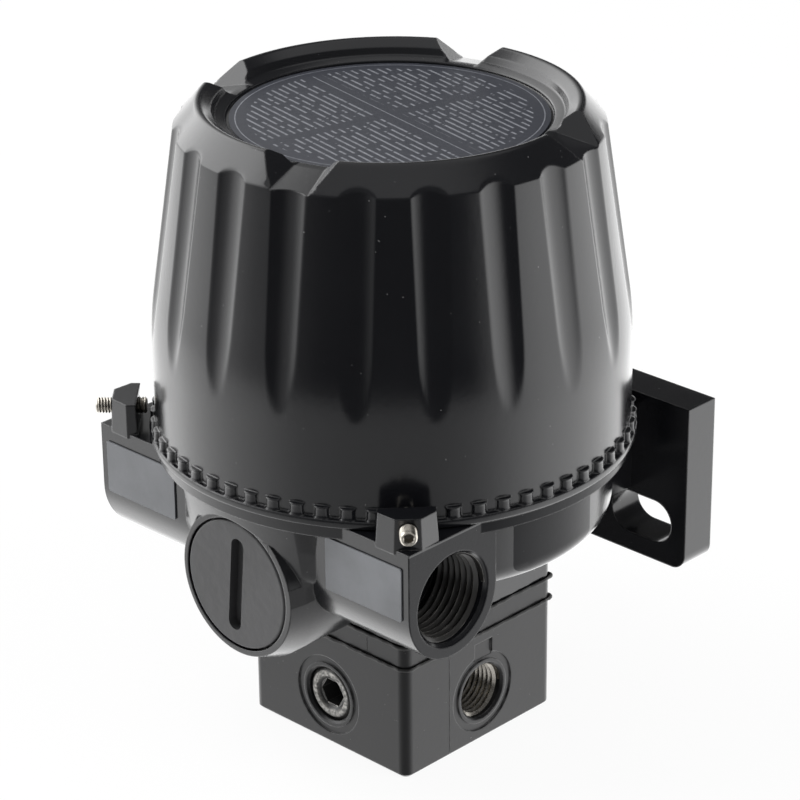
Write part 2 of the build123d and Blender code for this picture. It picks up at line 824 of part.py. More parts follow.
# Seal ring in the groove of the slotted plug
ring_middle = plug_face - plug_head_depth - 1.0 - plug_ring_section - seat_gap / 2
with BuildPart() as plug_ring:
    with BuildSketch(Plane.XY.offset(plug_height)):
        with Locations((groove_low + running_clearance + plug_ring_section, -ring_middle)):
            Circle(plug_ring_section)
    revolve(axis=Axis((0, 0, plug_height), (0, 1, 0)))
plug_ring.part.label = "plug_ring"
export_step(plug_ring.part, "parts/plug_ring.step")

# Filter cartridge behind the slotted plug
filter_front = plug_face - plug_head_depth - plug_thread_length - 1.0
with BuildPart() as filter_element:
    with BuildSketch(Plane.XZ.offset(filter_bore_end + seat_gap)):
        with Locations((0, plug_height)):
            Circle(filter_bore_radius - seat_gap)
            Circle(filter_bore_radius / 2, mode=Mode.SUBTRACT)
    extrude(amount=filter_front - filter_bore_end - seat_gap)
filter_element.part.label = "filter_element"
export_step(filter_element.part, "parts/filter_element.step")

# Mounting bracket, a thick plate relieved round the turning cover
with BuildPart() as mounting_bracket:
    with BuildSketch(Plane.XZ.offset(-bracket_front)):
        with BuildLine():
            Polyline(
                (-bracket_half_width, bracket_bottom),
                (bracket_half_width, bracket_bottom),
                (bracket_half_width, bracket_top),
                (-bracket_half_width, bracket_top),
                close=True,
            )
        make_face()
    extrude(amount=-bracket_thickness)
    low_corners = mounting_bracket.edges().filter_by(Axis.Y).group_by(Axis.Z)[0]
    fillet(low_corners, bracket_corner)
    with BuildSketch(Plane.XZ.offset(-bracket_front)):
        with Locations(
            (bracket_slot_offset, bracket_slot_height), (-bracket_slot_offset, bracket_slot_height)
        ):
            SlotOverall(bracket_slot_length, bracket_slot_width)
    extrude(amount=-bracket_thickness, mode=Mode.SUBTRACT)
    with BuildSketch(Plane.XY.offset(rim_bottom - seat_gap)):
        Circle(flange_radius + bracket_relief_gap)
    extrude(amount=bracket_top - rim_bottom + 1.0, mode=Mode.SUBTRACT)
    back = Plane(
        origin=(0, bracket_front + bracket_thickness, bracket_screw_height),
        x_dir=(-1, 0, 0),
        z_dir=(0, 1, 0),
    )
    with Locations(back):
        with GridLocations(2 * bracket_screw_offset, 1.0, 2, 1):
            CounterBoreHole(
                bracket_screw_radius + thread_clearance,
                bracket_head_radius + thread_clearance,
                bracket_head_height + seat_gap,
            )
mounting_bracket.part.label = "mounting_bracket"
export_step(mounting_bracket.part, "parts/mounting_bracket.step")

# Two socket screws from behind, through the bracket into the rear pad
with BuildPart() as bracket_screws:
    with BuildSketch(back.offset(-seat_gap)):
        with GridLocations(2 * bracket_screw_offset, 1.0, 2, 1):
            Circle(bracket_head_radius)
    extrude(amount=-bracket_head_height)
    with BuildSketch(back.offset(-seat_gap)):
        with GridLocations(2 * bracket_screw_offset, 1.0, 2, 1):
            Circle(bracket_screw_radius)
    extrude(amount=-(bracket_thickness + bracket_screw_depth - 1.0))
    with BuildSketch(back.offset(-seat_gap)):
        with GridLocations(2 * bracket_screw_offset, 1.0, 2, 1):
            RegularPolygon(2.5, 6, major_radius=False)
    extrude(amount=-3.0, mode=Mode.SUBTRACT)
bracket_screws.part.label = "bracket_screws"
export_step(bracket_screws.part, "parts/bracket_screws.step")

# Cover: a barrelled bell with a toothed flange, scalloped shoulder and notched crest
taper = (taper_start_radius - shoulder_radius) / (shoulder_height - taper_start)
taper_angle = math.degrees(math.atan(taper))
with BuildPart() as cover:
    with BuildSketch(Plane.XZ):
        with BuildLine():
            Polyline(
                (cover_bore_radius, cover_bottom),
                (flange_radius, cover_bottom),
                (flange_radius, cover_bottom + flange_height),
                (skirt_radius, cover_bottom + flange_height),
                (skirt_radius, skirt_straight_top),
            )
            TangentArc(
                (skirt_radius, skirt_straight_top), (taper_start_radius, taper_start), tangent=(0, 1)
            )
            Polyline(
                (taper_start_radius, taper_start),
                (shoulder_radius, shoulder_height),
                (crest_outer_radius, crest_height),
                (crest_inner_radius, crest_height),
                (recess_radius + step_width + step_slope, step_height),
                (recess_radius + step_slope, step_height),
                (recess_radius, step_height - step_slope),
                (recess_radius, recess_floor),
                (0, recess_floor),
                (0, cover_ceiling),
                (shoulder_radius - cover_wall - flute_depth, cover_ceiling),
                (taper_start_radius - cover_wall - flute_depth + 1.0, taper_start),
                (skirt_radius - cover_wall, cover_bore_top + cover_wall),
                (cover_bore_radius, cover_bore_top + cover_wall),
                (cover_bore_radius, cover_bottom),
            )
        make_face()
    revolve(axis=Axis.Z)
    crest_rings = cover.edges().filter_by(GeomType.CIRCLE).filter_by_position(
        Axis.Z, crest_height - 0.1, crest_height + 0.1
    )
    fillet(crest_rings, 0.7)
    flute_planes = []
    slope = math.radians(taper_angle)
    foot_radius = shoulder_radius - flute_depth + taper * (shoulder_height - flute_end_height)
    axis_radius = foot_radius + flute_radius * math.cos(slope)
    axis_height = flute_end_height + flute_radius * math.sin(slope)
    for i in range(flute_count):
        turn = math.radians(i * 360.0 / flute_count)
        flute_planes.append(
            Plane(
                origin=(
                    axis_radius * math.cos(turn), axis_radius * math.sin(turn), axis_height
                ),
                z_dir=(
                    -math.sin(slope) * math.cos(turn),
                    -math.sin(slope) * math.sin(turn),
                    math.cos(slope),
                ),
            ).offset(-flute_run_out)
        )
    with BuildSketch(*flute_planes):
        Circle(flute_radius)
    extrude(amount=crest_height - flute_end_height + 2 * flute_run_out, mode=Mode.SUBTRACT)
    notch_planes = []
    for i in range(notch_count):
        turn = math.radians(notch_angle - notch_arc / 2 + i * 360.0 / notch_count)
        notch_planes.append(
            Plane(
                origin=(0, 0, 0),
                x_dir=(math.cos(turn), math.sin(turn), 0),
                z_dir=(math.sin(turn), -math.cos(turn), 0),
            )
        )
    notch_fall = (notch_inner_height - notch_outer_height) / (shoulder_radius - recess_radius)
    with BuildSketch(*notch_planes):
        with BuildLine():
            Polyline(
                (recess_radius - notch_lead, notch_inner_height + notch_lead * notch_fall),
                (shoulder_radius + notch_lead, notch_outer_height - notch_lead * notch_fall),
                (shoulder_radius + notch_lead, crest_height + notch_lead),
                (recess_radius - notch_lead, crest_height + notch_lead),
                close=True,
            )
        make_face()
    revolve(axis=Axis.Z, revolution_arc=notch_arc, mode=Mode.SUBTRACT)
    with BuildSketch(Plane.XY.offset(cover_bottom + flange_height)):
        with PolarLocations(0, tooth_count, tooth_phase):
            with Locations((skirt_radius - tooth_root, 0)):
                RectangleRounded(
                    tooth_outer_radius - skirt_radius + tooth_root,
                    tooth_width,
                    tooth_corner,
                    align=(Align.MIN, Align.CENTER),
                )
    extrude(amount=tooth_height)
    ring_groove_low = cover_ring_height - cover_ring_section - ring_play
    with BuildSketch(Plane.XY.offset(ring_groove_low)):
        Circle(neck_radius + 2 * cover_ring_section + 2 * ring_play)
        Circle(neck_radius, mode=Mode.SUBTRACT)
    extrude(amount=2 * cover_ring_section + 2 * ring_play, mode=Mode.SUBTRACT)
cover.part.label = "cover"
export_step(cover.part, "parts/cover.step")

# Seal ring in the groove of the cover
with BuildPart() as cover_ring:
    with BuildSketch(Plane.XZ):
        with Locations((neck_radius + ring_play + cover_ring_section, cover_ring_height)):
            Circle(cover_ring_section)
    revolve(axis=Axis.Z)
cover_ring.part.label = "cover_ring"
export_step(cover_ring.part, "parts/cover_ring.step")

# Round label in the recess of the cover
with BuildPart() as label_disc:
    with BuildSketch(Plane.XY.offset(recess_floor)):
        Circle(label_radius)
    extrude(amount=label_thickness)
label_disc.part.label = "label_disc"
export_step(label_disc.part, "parts/label_disc.step")

# Nozzle standing in the roof of the filter chamber
nozzle_low = plug_height + filter_bore_radius
with BuildPart() as nozzle:
    with BuildSketch(Plane.XY.offset(nozzle_low)):
        with Locations((0, -nozzle_front)):
            Circle(nozzle_radius - running_clearance)
    extrude(amount=beam_height - nozzle_gap - nozzle_low)
    chamfer(nozzle.faces().sort_by(Axis.Z)[-1].edges(), 1.0)
    with BuildSketch(Plane.XY.offset(nozzle_low)):
        with Locations((0, -nozzle_front)):
            Circle(nozzle_bore)
    extrude(amount=beam_height - nozzle_low, mode=Mode.SUBTRACT)
nozzle.part.label = "nozzle"
export_step(nozzle.part, "parts/nozzle.step")

# Force motor: iron pot, magnet and pole piece in the well of the bowl
pot_bottom = motor_floor + skin_gap
with BuildPart() as magnet_pot:
    with BuildSketch(Plane.XY.offset(pot_bottom)):
        with Locations((0, motor_back)):
            Circle(pot_radius)
    extrude(amount=pot_height)
    with BuildSketch(Plane.XY.offset(pot_bottom + pot_base)):
        with Locations((0, motor_back)):
            Circle(pot_radius - pot_wall)
    extrude(amount=pot_height, mode=Mode.SUBTRACT)
magnet_pot.part.label = "magnet_pot"
export_step(magnet_pot.part, "parts/magnet_pot.step")

with BuildPart() as magnet:
    with BuildSketch(Plane.XY.offset(pot_bottom + pot_base)):
        with Locations((0, motor_back)):
            Circle(magnet_radius)
    extrude(amount=magnet_height)
magnet.part.label = "magnet"
export_step(magnet.part, "parts/magnet.step")

with BuildPart() as pole_piece:
    with BuildSketch(Plane.XY.offset(pot_bottom + pot_base + magnet_height)):
        with Locations((0, motor_back)):
            Circle(pole_radius)
    extrude(amount=pole_height)
pole_piece.part.label = "pole_piece"
export_step(pole_piece.part, "parts/pole_piece.step")

# Coil former hung under the flapper, with its winding
former_low = beam_height - former_height
with BuildPart() as coil_former:
    with BuildSketch(Plane.XY.offset(former_low)):
        with Locations((0, motor_back)):
            Circle(coil_inner_radius + former_wall)
    extrude(amount=former_height)
    with BuildSketch(Plane.XY.offset(former_low)):
        with Locations((0, motor_back)):
            Circle(coil_inner_radius)
    extrude(amount=former_height - former_flange, mode=Mode.SUBTRACT)
coil_former.part.label = "coil_former"
export_step(coil_former.part, "parts/coil_former.step")

with BuildPart() as coil_winding:
    with BuildSketch(Plane.XY.offset(former_low + former_flange)):
        with Locations((0, motor_back)):
            Circle(coil_inner_radius + former_wall + winding_thickness)
            Circle(coil_inner_radius + former_wall, mode=Mode.SUBTRACT)
    extrude(amount=winding_height)
coil_winding.part.label = "coil_winding"
export_step(coil_winding.part, "parts/coil_winding.step")

# Flapper beam, which tips on the pivot pin and covers the nozzle
with BuildPart() as flapper_beam:
    with BuildSketch(Plane.XY.offset(beam_height)):
        with Locations((0, (pivot_back - nozzle_front - beam_nose) / 2)):
            Rectangle(beam_width, pivot_back + nozzle_front + beam_nose)
    extrude(amount=beam_thickness)
    with BuildSketch(Plane.YZ.offset(-beam_width / 2)):
        with Locations((pivot_back, beam_middle)):
            Circle(hub_radius)
    extrude(amount=beam_width)
    with BuildSketch(Plane.YZ.offset(-beam_width / 2)):
        with Locations((pivot_back, beam_middle)):
            Circle(pivot_radius + running_clearance)
    extrude(amount=beam_width, mode=Mode.SUBTRACT)
flapper_beam.part.label = "flapper_beam"
export_step(flapper_beam.part, "parts/flapper_beam.step")

with BuildPart() as pivot_block:
    with BuildSketch(Plane.XY.offset(cavity_floor + skin_gap)):
        with Locations((0, pivot_back)):
            Rectangle(pivot_block_width, pivot_block_depth)
    extrude(amount=beam_middle + hub_radius - cavity_floor - skin_gap)
    with BuildSketch(Plane.XY.offset(beam_middle - hub_radius - 2 * pivot_ear_play)):
        with Locations((0, pivot_back)):
            Rectangle(beam_width + 2 * pivot_ear_play, pivot_block_depth)
    extrude(amount=3 * hub_radius, mode=Mode.SUBTRACT)
    with BuildSketch(Plane.YZ.offset(-pivot_block_width / 2)):
        with Locations((pivot_back, beam_middle)):
            Circle(pivot_radius + running_clearance)
    extrude(amount=pivot_block_width, mode=Mode.SUBTRACT)
pivot_block.part.label = "pivot_block"
export_step(pivot_block.part, "parts/pivot_block.step")

with BuildPart() as pivot_pin:
    with BuildSketch(Plane.YZ.offset(-pivot_block_width / 2)):
        with Locations((pivot_back, beam_middle)):
            Circle(pivot_radius)
    extrude(amount=pivot_block_width)
pivot_pin.part.label = "pivot_pin"
export_step(pivot_pin.part, "parts/pivot_pin.step")

# Circuit boards on three posts, with hex studs between them
for name, height, radius in (
    ("main_board", board_height, board_radius),
    ("upper_board", upper_board_height, upper_board_radius),
):
    with BuildPart() as board:
        with BuildSketch(Plane.XY.offset(height)):
            Circle(radius)
            with PolarLocations(post_circle, 3, 30):
                Circle(board_hole_radius, mode=Mode.SUBTRACT)
        extrude(amount=board_thickness)
    board.part.label = name
    export_step(board.part, "parts/" + name + ".step")

with BuildPart() as board_studs:
    with BuildSketch(Plane.XY.offset(board_top)):
        with PolarLocations(post_circle, 3, 30):
            RegularPolygon(stud_flats / 2, 6, major_radius=False)
    extrude(amount=upper_board_height - board_top)
    with BuildSketch(Plane.XY.offset(board_top)):
        with PolarLocations(post_circle, 3, 30):
            Circle(stud_thread_radius)
    extrude(amount=-board_thickness - stud_thread_length)
    with BuildSketch(Plane.XY.offset(upper_board_height)):
        with PolarLocations(post_circle, 3, 30):
            Circle(board_screw_radius + running_clearance)
    extrude(amount=-board_screw_depth, mode=Mode.SUBTRACT)
board_studs.part.label = "board_studs"
export_step(board_studs.part, "parts/board_studs.step")

with BuildPart() as board_screws:
    with BuildSketch(Plane.XY.offset(upper_board_top)):
        with PolarLocations(post_circle, 3, 30):
            Circle(board_screw_head_radius)
    extrude(amount=board_screw_head_height)
    with BuildSketch(Plane.XY.offset(upper_board_top)):
        with PolarLocations(post_circle, 3, 30):
            Circle(board_screw_radius)
    extrude(amount=1.0 - board_thickness - board_screw_depth)
board_screws.part.label = "board_screws"
export_step(board_screws.part, "parts/board_screws.step")

# Terminal block for the loop wires, with its screws
with BuildPart() as terminal_block:
    with BuildSketch(Plane.XY.offset(upper_board_top)):
        with Locations((0, terminal_back)):
            Rectangle(terminal_length, terminal_depth)
    extrude(amount=terminal_height)
    with BuildSketch(Plane.XY.offset(upper_board_top + terminal_height)):
        with Locations((0, terminal_back)):
            with GridLocations(terminal_pitch, 1.0, 3, 1):
                Circle(terminal_screw_radius + running_clearance)
    extrude(amount=-terminal_screw_length - 0.6, mode=Mode.SUBTRACT)
    entry = Plane.XZ.offset(terminal_depth / 2 - terminal_back)
    with BuildSketch(entry):
        with Locations((0, upper_board_top + wire_hole_radius + 0.8)):
            with GridLocations(terminal_pitch, 1.0, 3, 1):
                Circle(wire_hole_radius)
    extrude(amount=-terminal_depth * 0.7, mode=Mode.SUBTRACT)
terminal_block.part.label = "terminal_block"
export_step(terminal_block.part, "parts/terminal_block.step")

with BuildPart() as terminal_screws:
    with BuildSketch(Plane.XY.offset(upper_board_top + terminal_height - 0.6)):
        with Locations((0, terminal_back)):
            with GridLocations(terminal_pitch, 1.0, 3, 1):
                Circle(terminal_screw_radius)
    extrude(amount=-terminal_screw_length)
    with BuildSketch(Plane.XY.offset(upper_board_top + terminal_height - 0.6)):
        with Locations((0, terminal_back)):
            with GridLocations(terminal_pitch, 1.0, 3, 1):
                Rectangle(0.7, 2 * terminal_screw_radius)
    extrude(amount=-0.8, mode=Mode.SUBTRACT)
terminal_screws.part.label = "terminal_screws"
export_step(terminal_screws.part, "parts/terminal_screws.step")

# Zero and span trimmers with their adjusting screws
for name, side in (("zero", -1), ("span", 1)):
    with BuildPart() as trimmer:
        with BuildSketch(Plane.XY.offset(upper_board_top)):
            with Locations((side * trimmer_across, -trimmer_front)):
                Rectangle(trimmer_length, trimmer_width)
        extrude(amount=trimmer_height)
        with BuildSketch(Plane.XY.offset(upper_board_top + trimmer_height)):
            with Locations((side * (trimmer_across + trimmer_screw_shift), -trimmer_front)):
                Circle(trimmer_screw_radius + running_clearance)
        extrude(amount=1.0 - trimmer_screw_length, mode=Mode.SUBTRACT)
    trimmer.part.label = name + "_trimmer"
    export_step(trimmer.part, "parts/" + name + "_trimmer.step")
    with BuildPart() as trimmer_screw:
        with BuildSketch(Plane.XY.offset(upper_board_top + trimmer_height + 1.0)):
            with Locations((side * (trimmer_across + trimmer_screw_shift), -trimmer_front)):
                Circle(trimmer_screw_radius)
        extrude(amount=running_clearance - trimmer_screw_length)
        with BuildSketch(Plane.XY.offset(upper_board_top + trimmer_height + 1.0)):
            with Locations((side * (trimmer_across + trimmer_screw_shift), -trimmer_front)):
                Rectangle(0.5, 2 * trimmer_screw_radius)
        extrude(amount=-0.7, mode=Mode.SUBTRACT)
    trimmer_screw.part.label = name + "_screw"
    export_step(trimmer_screw.part, "parts/" + name + "_screw.step")

# Smoothing capacitors on the upper board
with BuildPart() as capacitors:
    with BuildSketch(Plane.XY.offset(upper_board_top)):
        with Locations((0, -capacitor_front)):
            with GridLocations(capacitor_spacing, 1.0, 3, 1):
                Circle(capacitor_radius)
    extrude(amount=capacitor_height)
    fillet(capacitors.faces().filter_by(Axis.Z).group_by(Axis.Z)[-1].edges(), 0.6)
capacitors.part.label = "capacitors"
export_step(capacitors.part, "parts/capacitors.step")

# Pressure sensor under the main board, and its tube to the floor of the bowl
with BuildPart() as pressure_sensor:
    with BuildSketch(Plane.XY.offset(board_height)):
        with Locations((sensor_across, sensor_back)):
            Circle(sensor_radius)
    extrude(amount=-sensor_height)
pressure_sensor.part.label = "pressure_sensor"
export_step(pressure_sensor.part, "parts/pressure_sensor.step")

with BuildPart() as sensor_tube:
    with BuildSketch(Plane.XY.offset(cavity_floor + skin_gap)):
        with Locations((sensor_across, sensor_back)):
            Circle(sensor_tube_radius)
            Circle(sensor_tube_bore, mode=Mode.SUBTRACT)
    extrude(amount=board_height - sensor_height - cavity_floor - 2 * skin_gap)
sensor_tube.part.label = "sensor_tube"
export_step(sensor_tube.part, "parts/sensor_tube.step")

# Earth screw and washer on their post
earth_seat = cavity_floor + earth_post_height
with BuildPart() as earth_washer:
    with BuildSketch(Plane.XY.offset(earth_seat + skin_gap)):
        with Locations((earth_across, -earth_front)):
            Circle(earth_washer_radius)
            Circle(earth_screw_radius + running_clearance, mode=Mode.SUBTRACT)
    extrude(amount=earth_washer_thickness)
earth_washer.part.label = "earth_washer"
export_step(earth_washer.part, "parts/earth_washer.step")

with BuildPart() as earth_screw:
    with BuildSketch(Plane.XY.offset(earth_seat + earth_washer_thickness + 2 * skin_gap)):
        with Locations((earth_across, -earth_front)):
            Circle(earth_head_radius)
    extrude(amount=earth_head_height)
    with BuildSketch(Plane.XY.offset(earth_seat + earth_washer_thickness + 2 * skin_gap)):
        with Locations((earth_across, -earth_front)):
            Circle(earth_screw_radius)
    extrude(amount=-earth_post_height)
    with BuildSketch(Plane.XY.offset(earth_seat + earth_washer_thickness + earth_head_height)):
        with Locations((earth_across, -earth_front)):
            Rectangle(1.0, 2 * earth_head_radius)
    extrude(amount=-1.0, mode=Mode.SUBTRACT)
earth_screw.part.label = "earth_screw"
export_step(earth_screw.part, "parts/earth_screw.step")
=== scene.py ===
import json
import math
import random

import bpy
from mathutils import Matrix, Vector


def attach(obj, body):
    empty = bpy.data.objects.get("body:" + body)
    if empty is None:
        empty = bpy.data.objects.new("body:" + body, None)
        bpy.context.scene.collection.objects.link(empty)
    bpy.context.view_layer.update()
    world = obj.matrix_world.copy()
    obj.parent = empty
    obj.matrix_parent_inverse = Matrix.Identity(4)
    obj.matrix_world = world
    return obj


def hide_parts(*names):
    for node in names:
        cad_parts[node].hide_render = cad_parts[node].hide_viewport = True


MM = 0.001

# Camera fitted to the photograph: turn about Z, height angle, roll, distance, aim and lens
CAMERA_TURN = math.radians(44.27)
CAMERA_RISE = math.radians(24.51)
CAMERA_ROLL = math.radians(-0.57)
CAMERA_DISTANCE = 747.59 * MM
CAMERA_AIM = Vector((1.13, 1.19, 83.13)) * MM
CAMERA_LENS = 142.67
SENSOR_WIDTH = 36.0
CAMERA_CLIP = (0.05, 50.0)

# Places of the solids that pieces and paints follow, in millimetres
COVER_BOTTOM = 77.6
CONDUIT_END = 50.6
CONDUIT_HEIGHT = 61.36
CONDUIT_FORWARD = 33.25
CONDUIT_RADIUS = 14.05
BASE_HALF = 25.85
PORT_HEIGHT = 13.2
PORT_BACK = 3.2

# Print on the round plate, in millimetres: rows of dashes, blank cross, rule and border
PRINT_BEARING = math.radians(-12.0)
PRINT_RADIUS = 32.5
PRINT_PITCH = 1.9
PRINT_WEIGHT = 0.30
PRINT_DASH = 3.2
PRINT_ROW_JUMP = 7.3
PRINT_LEVEL = 0.44
PRINT_GAP_ALONG = 1.6
PRINT_GAP_ACROSS = 2.4
PRINT_RULE = 0.14
PRINT_BORDER_OUT = 2.6
PRINT_BORDER = 0.13

# Grain of the surfaces, as noise scale per metre, and depth of their relief in metres
WEAR_GRAIN = 260.0
DUST_GRAIN = 1300.0
DUST_COLOUR = (0.22, 0.22, 0.22)
PAINT_CLOUDS = 35.0
PEEL_DEPTH = 0.000015
PLATE_GRAIN = 700.0
PLATE_RELIEF = 0.00003
INK_GRAIN = 900.0
IRON_GRAIN = 1100.0
IRON_PITS = 1500.0
IRON_RELIEF = 0.00005
METAL_RELIEF = 0.00002
PLAIN_CLOUDS = 60.0

# Paint gloss, and what the turned ends of the conduit bosses lose of it
PAINT_GLOSS = 0.5
END_GLOSS_LOSS = 0.36

# Studio: levels of the world, the floor and the lamps
WORLD_FILL = 0.55
WORLD_LEVEL = 0.8
TOP_LEVEL = 0.9
FLOOR_GLOW = 1.03
FLOOR_SHARE = 0.9
FLOOR_GREY = 0.9
FLOOR_SIZE = 6.0
LAMP_AIM = (0, 0, 0.08)

# What the gloss reflects, as (bearing from the camera's side in degrees, level)
WALL_STOPS = (
    (-179, 2.2), (-130, 2.4), (-104, 2.2), (-90, 1.9), (-70, 0.7), (-55, 0.5), (-42, 0.2),
    (-33, 0.04), (38, 0.04), (46, 0.9), (60, 2.4), (75, 3.1), (110, 3.0), (179, 2.4),
)
WALL_TOP = 3.2
TABLE_STOPS = (
    (-179, 2.4), (-146, 2.4), (-122, 3.3), (-104, 2.8), (-90, 2.4), (-77, 2.0), (-65, 1.7),
    (-54, 1.3), (-43, 1.0), (-23, 0.85), (0, 0.8), (20, 0.8), (35, 1.0), (45, 1.3), (56, 1.9),
    (67, 2.5), (79, 3.0), (126, 3.3), (179, 2.8),
)
TABLE_TOP = 3.4
BOX_STOPS = (
    (-175, 0.5), (-150, 4.5), (-95, 5.5), (-62, 0.9), (-40, 0.25), (60, 0.12), (179, 0.1),
)
BOX_TOP = 5.5

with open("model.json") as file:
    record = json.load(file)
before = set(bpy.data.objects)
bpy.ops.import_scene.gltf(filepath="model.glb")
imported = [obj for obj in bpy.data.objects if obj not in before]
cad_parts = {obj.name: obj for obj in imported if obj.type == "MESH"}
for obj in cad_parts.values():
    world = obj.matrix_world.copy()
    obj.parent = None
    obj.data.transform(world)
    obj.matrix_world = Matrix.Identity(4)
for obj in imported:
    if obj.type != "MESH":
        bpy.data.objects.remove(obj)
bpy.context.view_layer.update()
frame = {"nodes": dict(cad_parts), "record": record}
nodes = frame["nodes"]


def new_material(name):
    """A material with its node tree and its Principled shader."""
    material = bpy.data.materials.new(name)
    material.use_nodes = True
    tree = material.node_tree
    tree.nodes.clear()
    output = tree.nodes.new("ShaderNodeOutputMaterial")
    shader = tree.nodes.new("ShaderNodeBsdfPrincipled")
    tree.links.new(shader.outputs[0], output.inputs[0])
    return material, tree, shader


def math_node(tree, operation, a, b=None, c=None):
    """One Math node on sockets or numbers."""
    node = tree.nodes.new("ShaderNodeMath")
    node.operation = operation
    for socket, value in zip(node.inputs, (a, b, c)):
        if value is None:
            continue
        if isinstance(value, (int, float)):
            socket.default_value = value
        else:
            tree.links.new(value, socket)
    return node.outputs[0]


def product(tree, first, *others):
    """The product of sockets or numbers."""
    for other in others:
        first = math_node(tree, "MULTIPLY", first, other)
    return first


def distance(tree, a, b):
    """The length of two sockets that lie square to each other."""
    return math_node(
        tree, "SQRT", math_node(tree, "ADD", product(tree, a, a), product(tree, b, b))
    )


def noise(tree, scale, detail=4.0):
    """Noise in the part's own coordinates, in metres."""
    coords = tree.nodes.new("ShaderNodeTexCoord")
    texture = tree.nodes.new("ShaderNodeTexNoise")
    texture.inputs["Scale"].default_value = scale
    texture.inputs["Detail"].default_value = detail
    texture.inputs["Roughness"].default_value = 0.55
    tree.links.new(coords.outputs["Object"], texture.inputs["Vector"])
    return texture.outputs["Fac"]


def ramp(tree, value, stops):
    """A colour ramp through (position, grey or colour) stops."""
    node = tree.nodes.new("ShaderNodeValToRGB")
    elements = node.color_ramp.elements
    elements[0].position = stops[0][0]
    elements[-1].position = stops[-1][0]
    for position, _ in stops[1:-1]:
        elements.new(position)
    for element, (_, colour) in zip(elements, stops):
        if not isinstance(colour, tuple):
            colour = (colour, colour, colour)
        element.color = (*colour, 1.0)
    tree.links.new(value, node.inputs[0])
    return node.outputs[0]


def blend_colours(tree, share, first, second):
    """A blend of two colours, each one given or a socket."""
    node = tree.nodes.new("ShaderNodeMix")
    node.data_type = "RGBA"
    for key, colour in (("A", first), ("B", second)):
        if isinstance(colour, tuple):
            node.inputs[key].default_value = (*colour, 1.0)
        else:
            tree.links.new(colour, node.inputs[key])
    tree.links.new(share, node.inputs["Factor"])
    return node.outputs["Result"]


def bump(tree, shader, height, depth, normal=None):
    """Bump on a shader, of a height from 0 to 1 that stands for a depth in metres."""
    node = tree.nodes.new("ShaderNodeBump")
    node.inputs["Strength"].default_value = 1.0
    node.inputs["Distance"].default_value = depth
    tree.links.new(height, node.inputs["Height"])
    if normal:
        tree.links.new(normal, node.inputs["Normal"])
    tree.links.new(node.outputs[0], shader.inputs["Normal"])


def edge_mask(tree, radius):
    """A mask that is one on sharp edges, and the normal rounded over them."""
    bevel = tree.nodes.new("ShaderNodeBevel")
    bevel.samples = 6
    bevel.inputs["Radius"].default_value = radius
    geometry = tree.nodes.new("ShaderNodeNewGeometry")
    dot = tree.nodes.new("ShaderNodeVectorMath")
    dot.operation = "DOT_PRODUCT"
    tree.links.new(bevel.outputs[0], dot.inputs[0])
    tree.links.new(geometry.outputs["Normal"], dot.inputs[1])
    return ramp(tree, dot.outputs["Value"], [(0.86, 1.0), (0.985, 0.0)]), bevel.outputs[0]


def object_axes(tree):
    """X, Y and Z in the part's own coordinates, in metres."""
    coords = tree.nodes.new("ShaderNodeTexCoord")
    split = tree.nodes.new("ShaderNodeSeparateXYZ")
    tree.links.new(coords.outputs["Object"], split.inputs[0])
    return split.outputs[0], split.outputs[1], split.outputs[2]


def paint(name, colour, rough, peel, wear_and_highlight_colour, gloss=PAINT_GLOSS, edge=0.35):
    """Semi-gloss black paint with orange peel, dust, and worn edges made lighter, partly as wear
    and partly as a painted edge highlight.
    """
    material, tree, shader = new_material(name)
    shader.inputs["Specular IOR Level"].default_value = gloss
    worn_and_highlit_edges, rounded = edge_mask(tree, edge * MM)
    patches = ramp(tree, noise(tree, WEAR_GRAIN), [(0.42, 0.0), (0.62, 1.0)])
    # Worn edges take the lighter wear colour: partly real wear, partly a painted highlight along
    # the edges.
    coat = blend_colours(tree, product(tree, worn_and_highlit_edges, patches), colour, wear_and_highlight_colour)
    dust = ramp(tree, noise(tree, DUST_GRAIN, 1.0), [(0.80, 0.0), (0.815, 0.7)])
    tree.links.new(blend_colours(tree, dust, coat, DUST_COLOUR), shader.inputs["Base Color"])
    clouds = noise(tree, PAINT_CLOUDS, 5.0)
    roughness = ramp(tree, clouds, [(0.3, rough - 0.03), (0.7, rough + 0.04)])
    tree.links.new(roughness, shader.inputs["Roughness"])
    bump(tree, shader, noise(tree, peel, 3.0), PEEL_DEPTH, rounded)
    return material


def metal(name, colour, rough, grain=400.0):
    """Machined or plated metal with a fine grain."""
    material, tree, shader = new_material(name)
    shader.inputs["Metallic"].default_value = 1.0
    dark = tuple(0.72 * c for c in colour)
    tint = ramp(tree, noise(tree, grain, 3.0), [(0.35, dark), (0.65, colour)])
    tree.links.new(tint, shader.inputs["Base Color"])
    fine = noise(tree, 3 * grain, 2.0)
    roughness = ramp(tree, fine, [(0.3, rough - 0.06), (0.7, rough + 0.08)])
    tree.links.new(roughness, shader.inputs["Roughness"])
    bump(tree, shader, noise(tree, 4 * grain, 2.0), METAL_RELIEF)
    return material


def plain(name, colour, rough, grain=PLATE_GRAIN, relief=PLATE_RELIEF):
    """Plastic, rubber, felt or plain plate with a fine grain and slight clouds."""
    material, tree, shader = new_material(name)
    dark = tuple(0.85 * c for c in colour)
    light = tuple(min(1.0, 1.12 * c) for c in colour)
    tint = ramp(tree, noise(tree, PLAIN_CLOUDS), [(0.35, dark), (0.65, light)])
    tree.links.new(tint, shader.inputs["Base Color"])
    shader.inputs["Roughness"].default_value = rough
    bump(tree, shader, noise(tree, grain, 3.0), relief)
    return material


def turned(tree, a, b, cosine, sine):
    """A coordinate turned about Z: a * cosine + b * sine."""
    return math_node(tree, "ADD", product(tree, a, cosine), product(tree, b, sine))


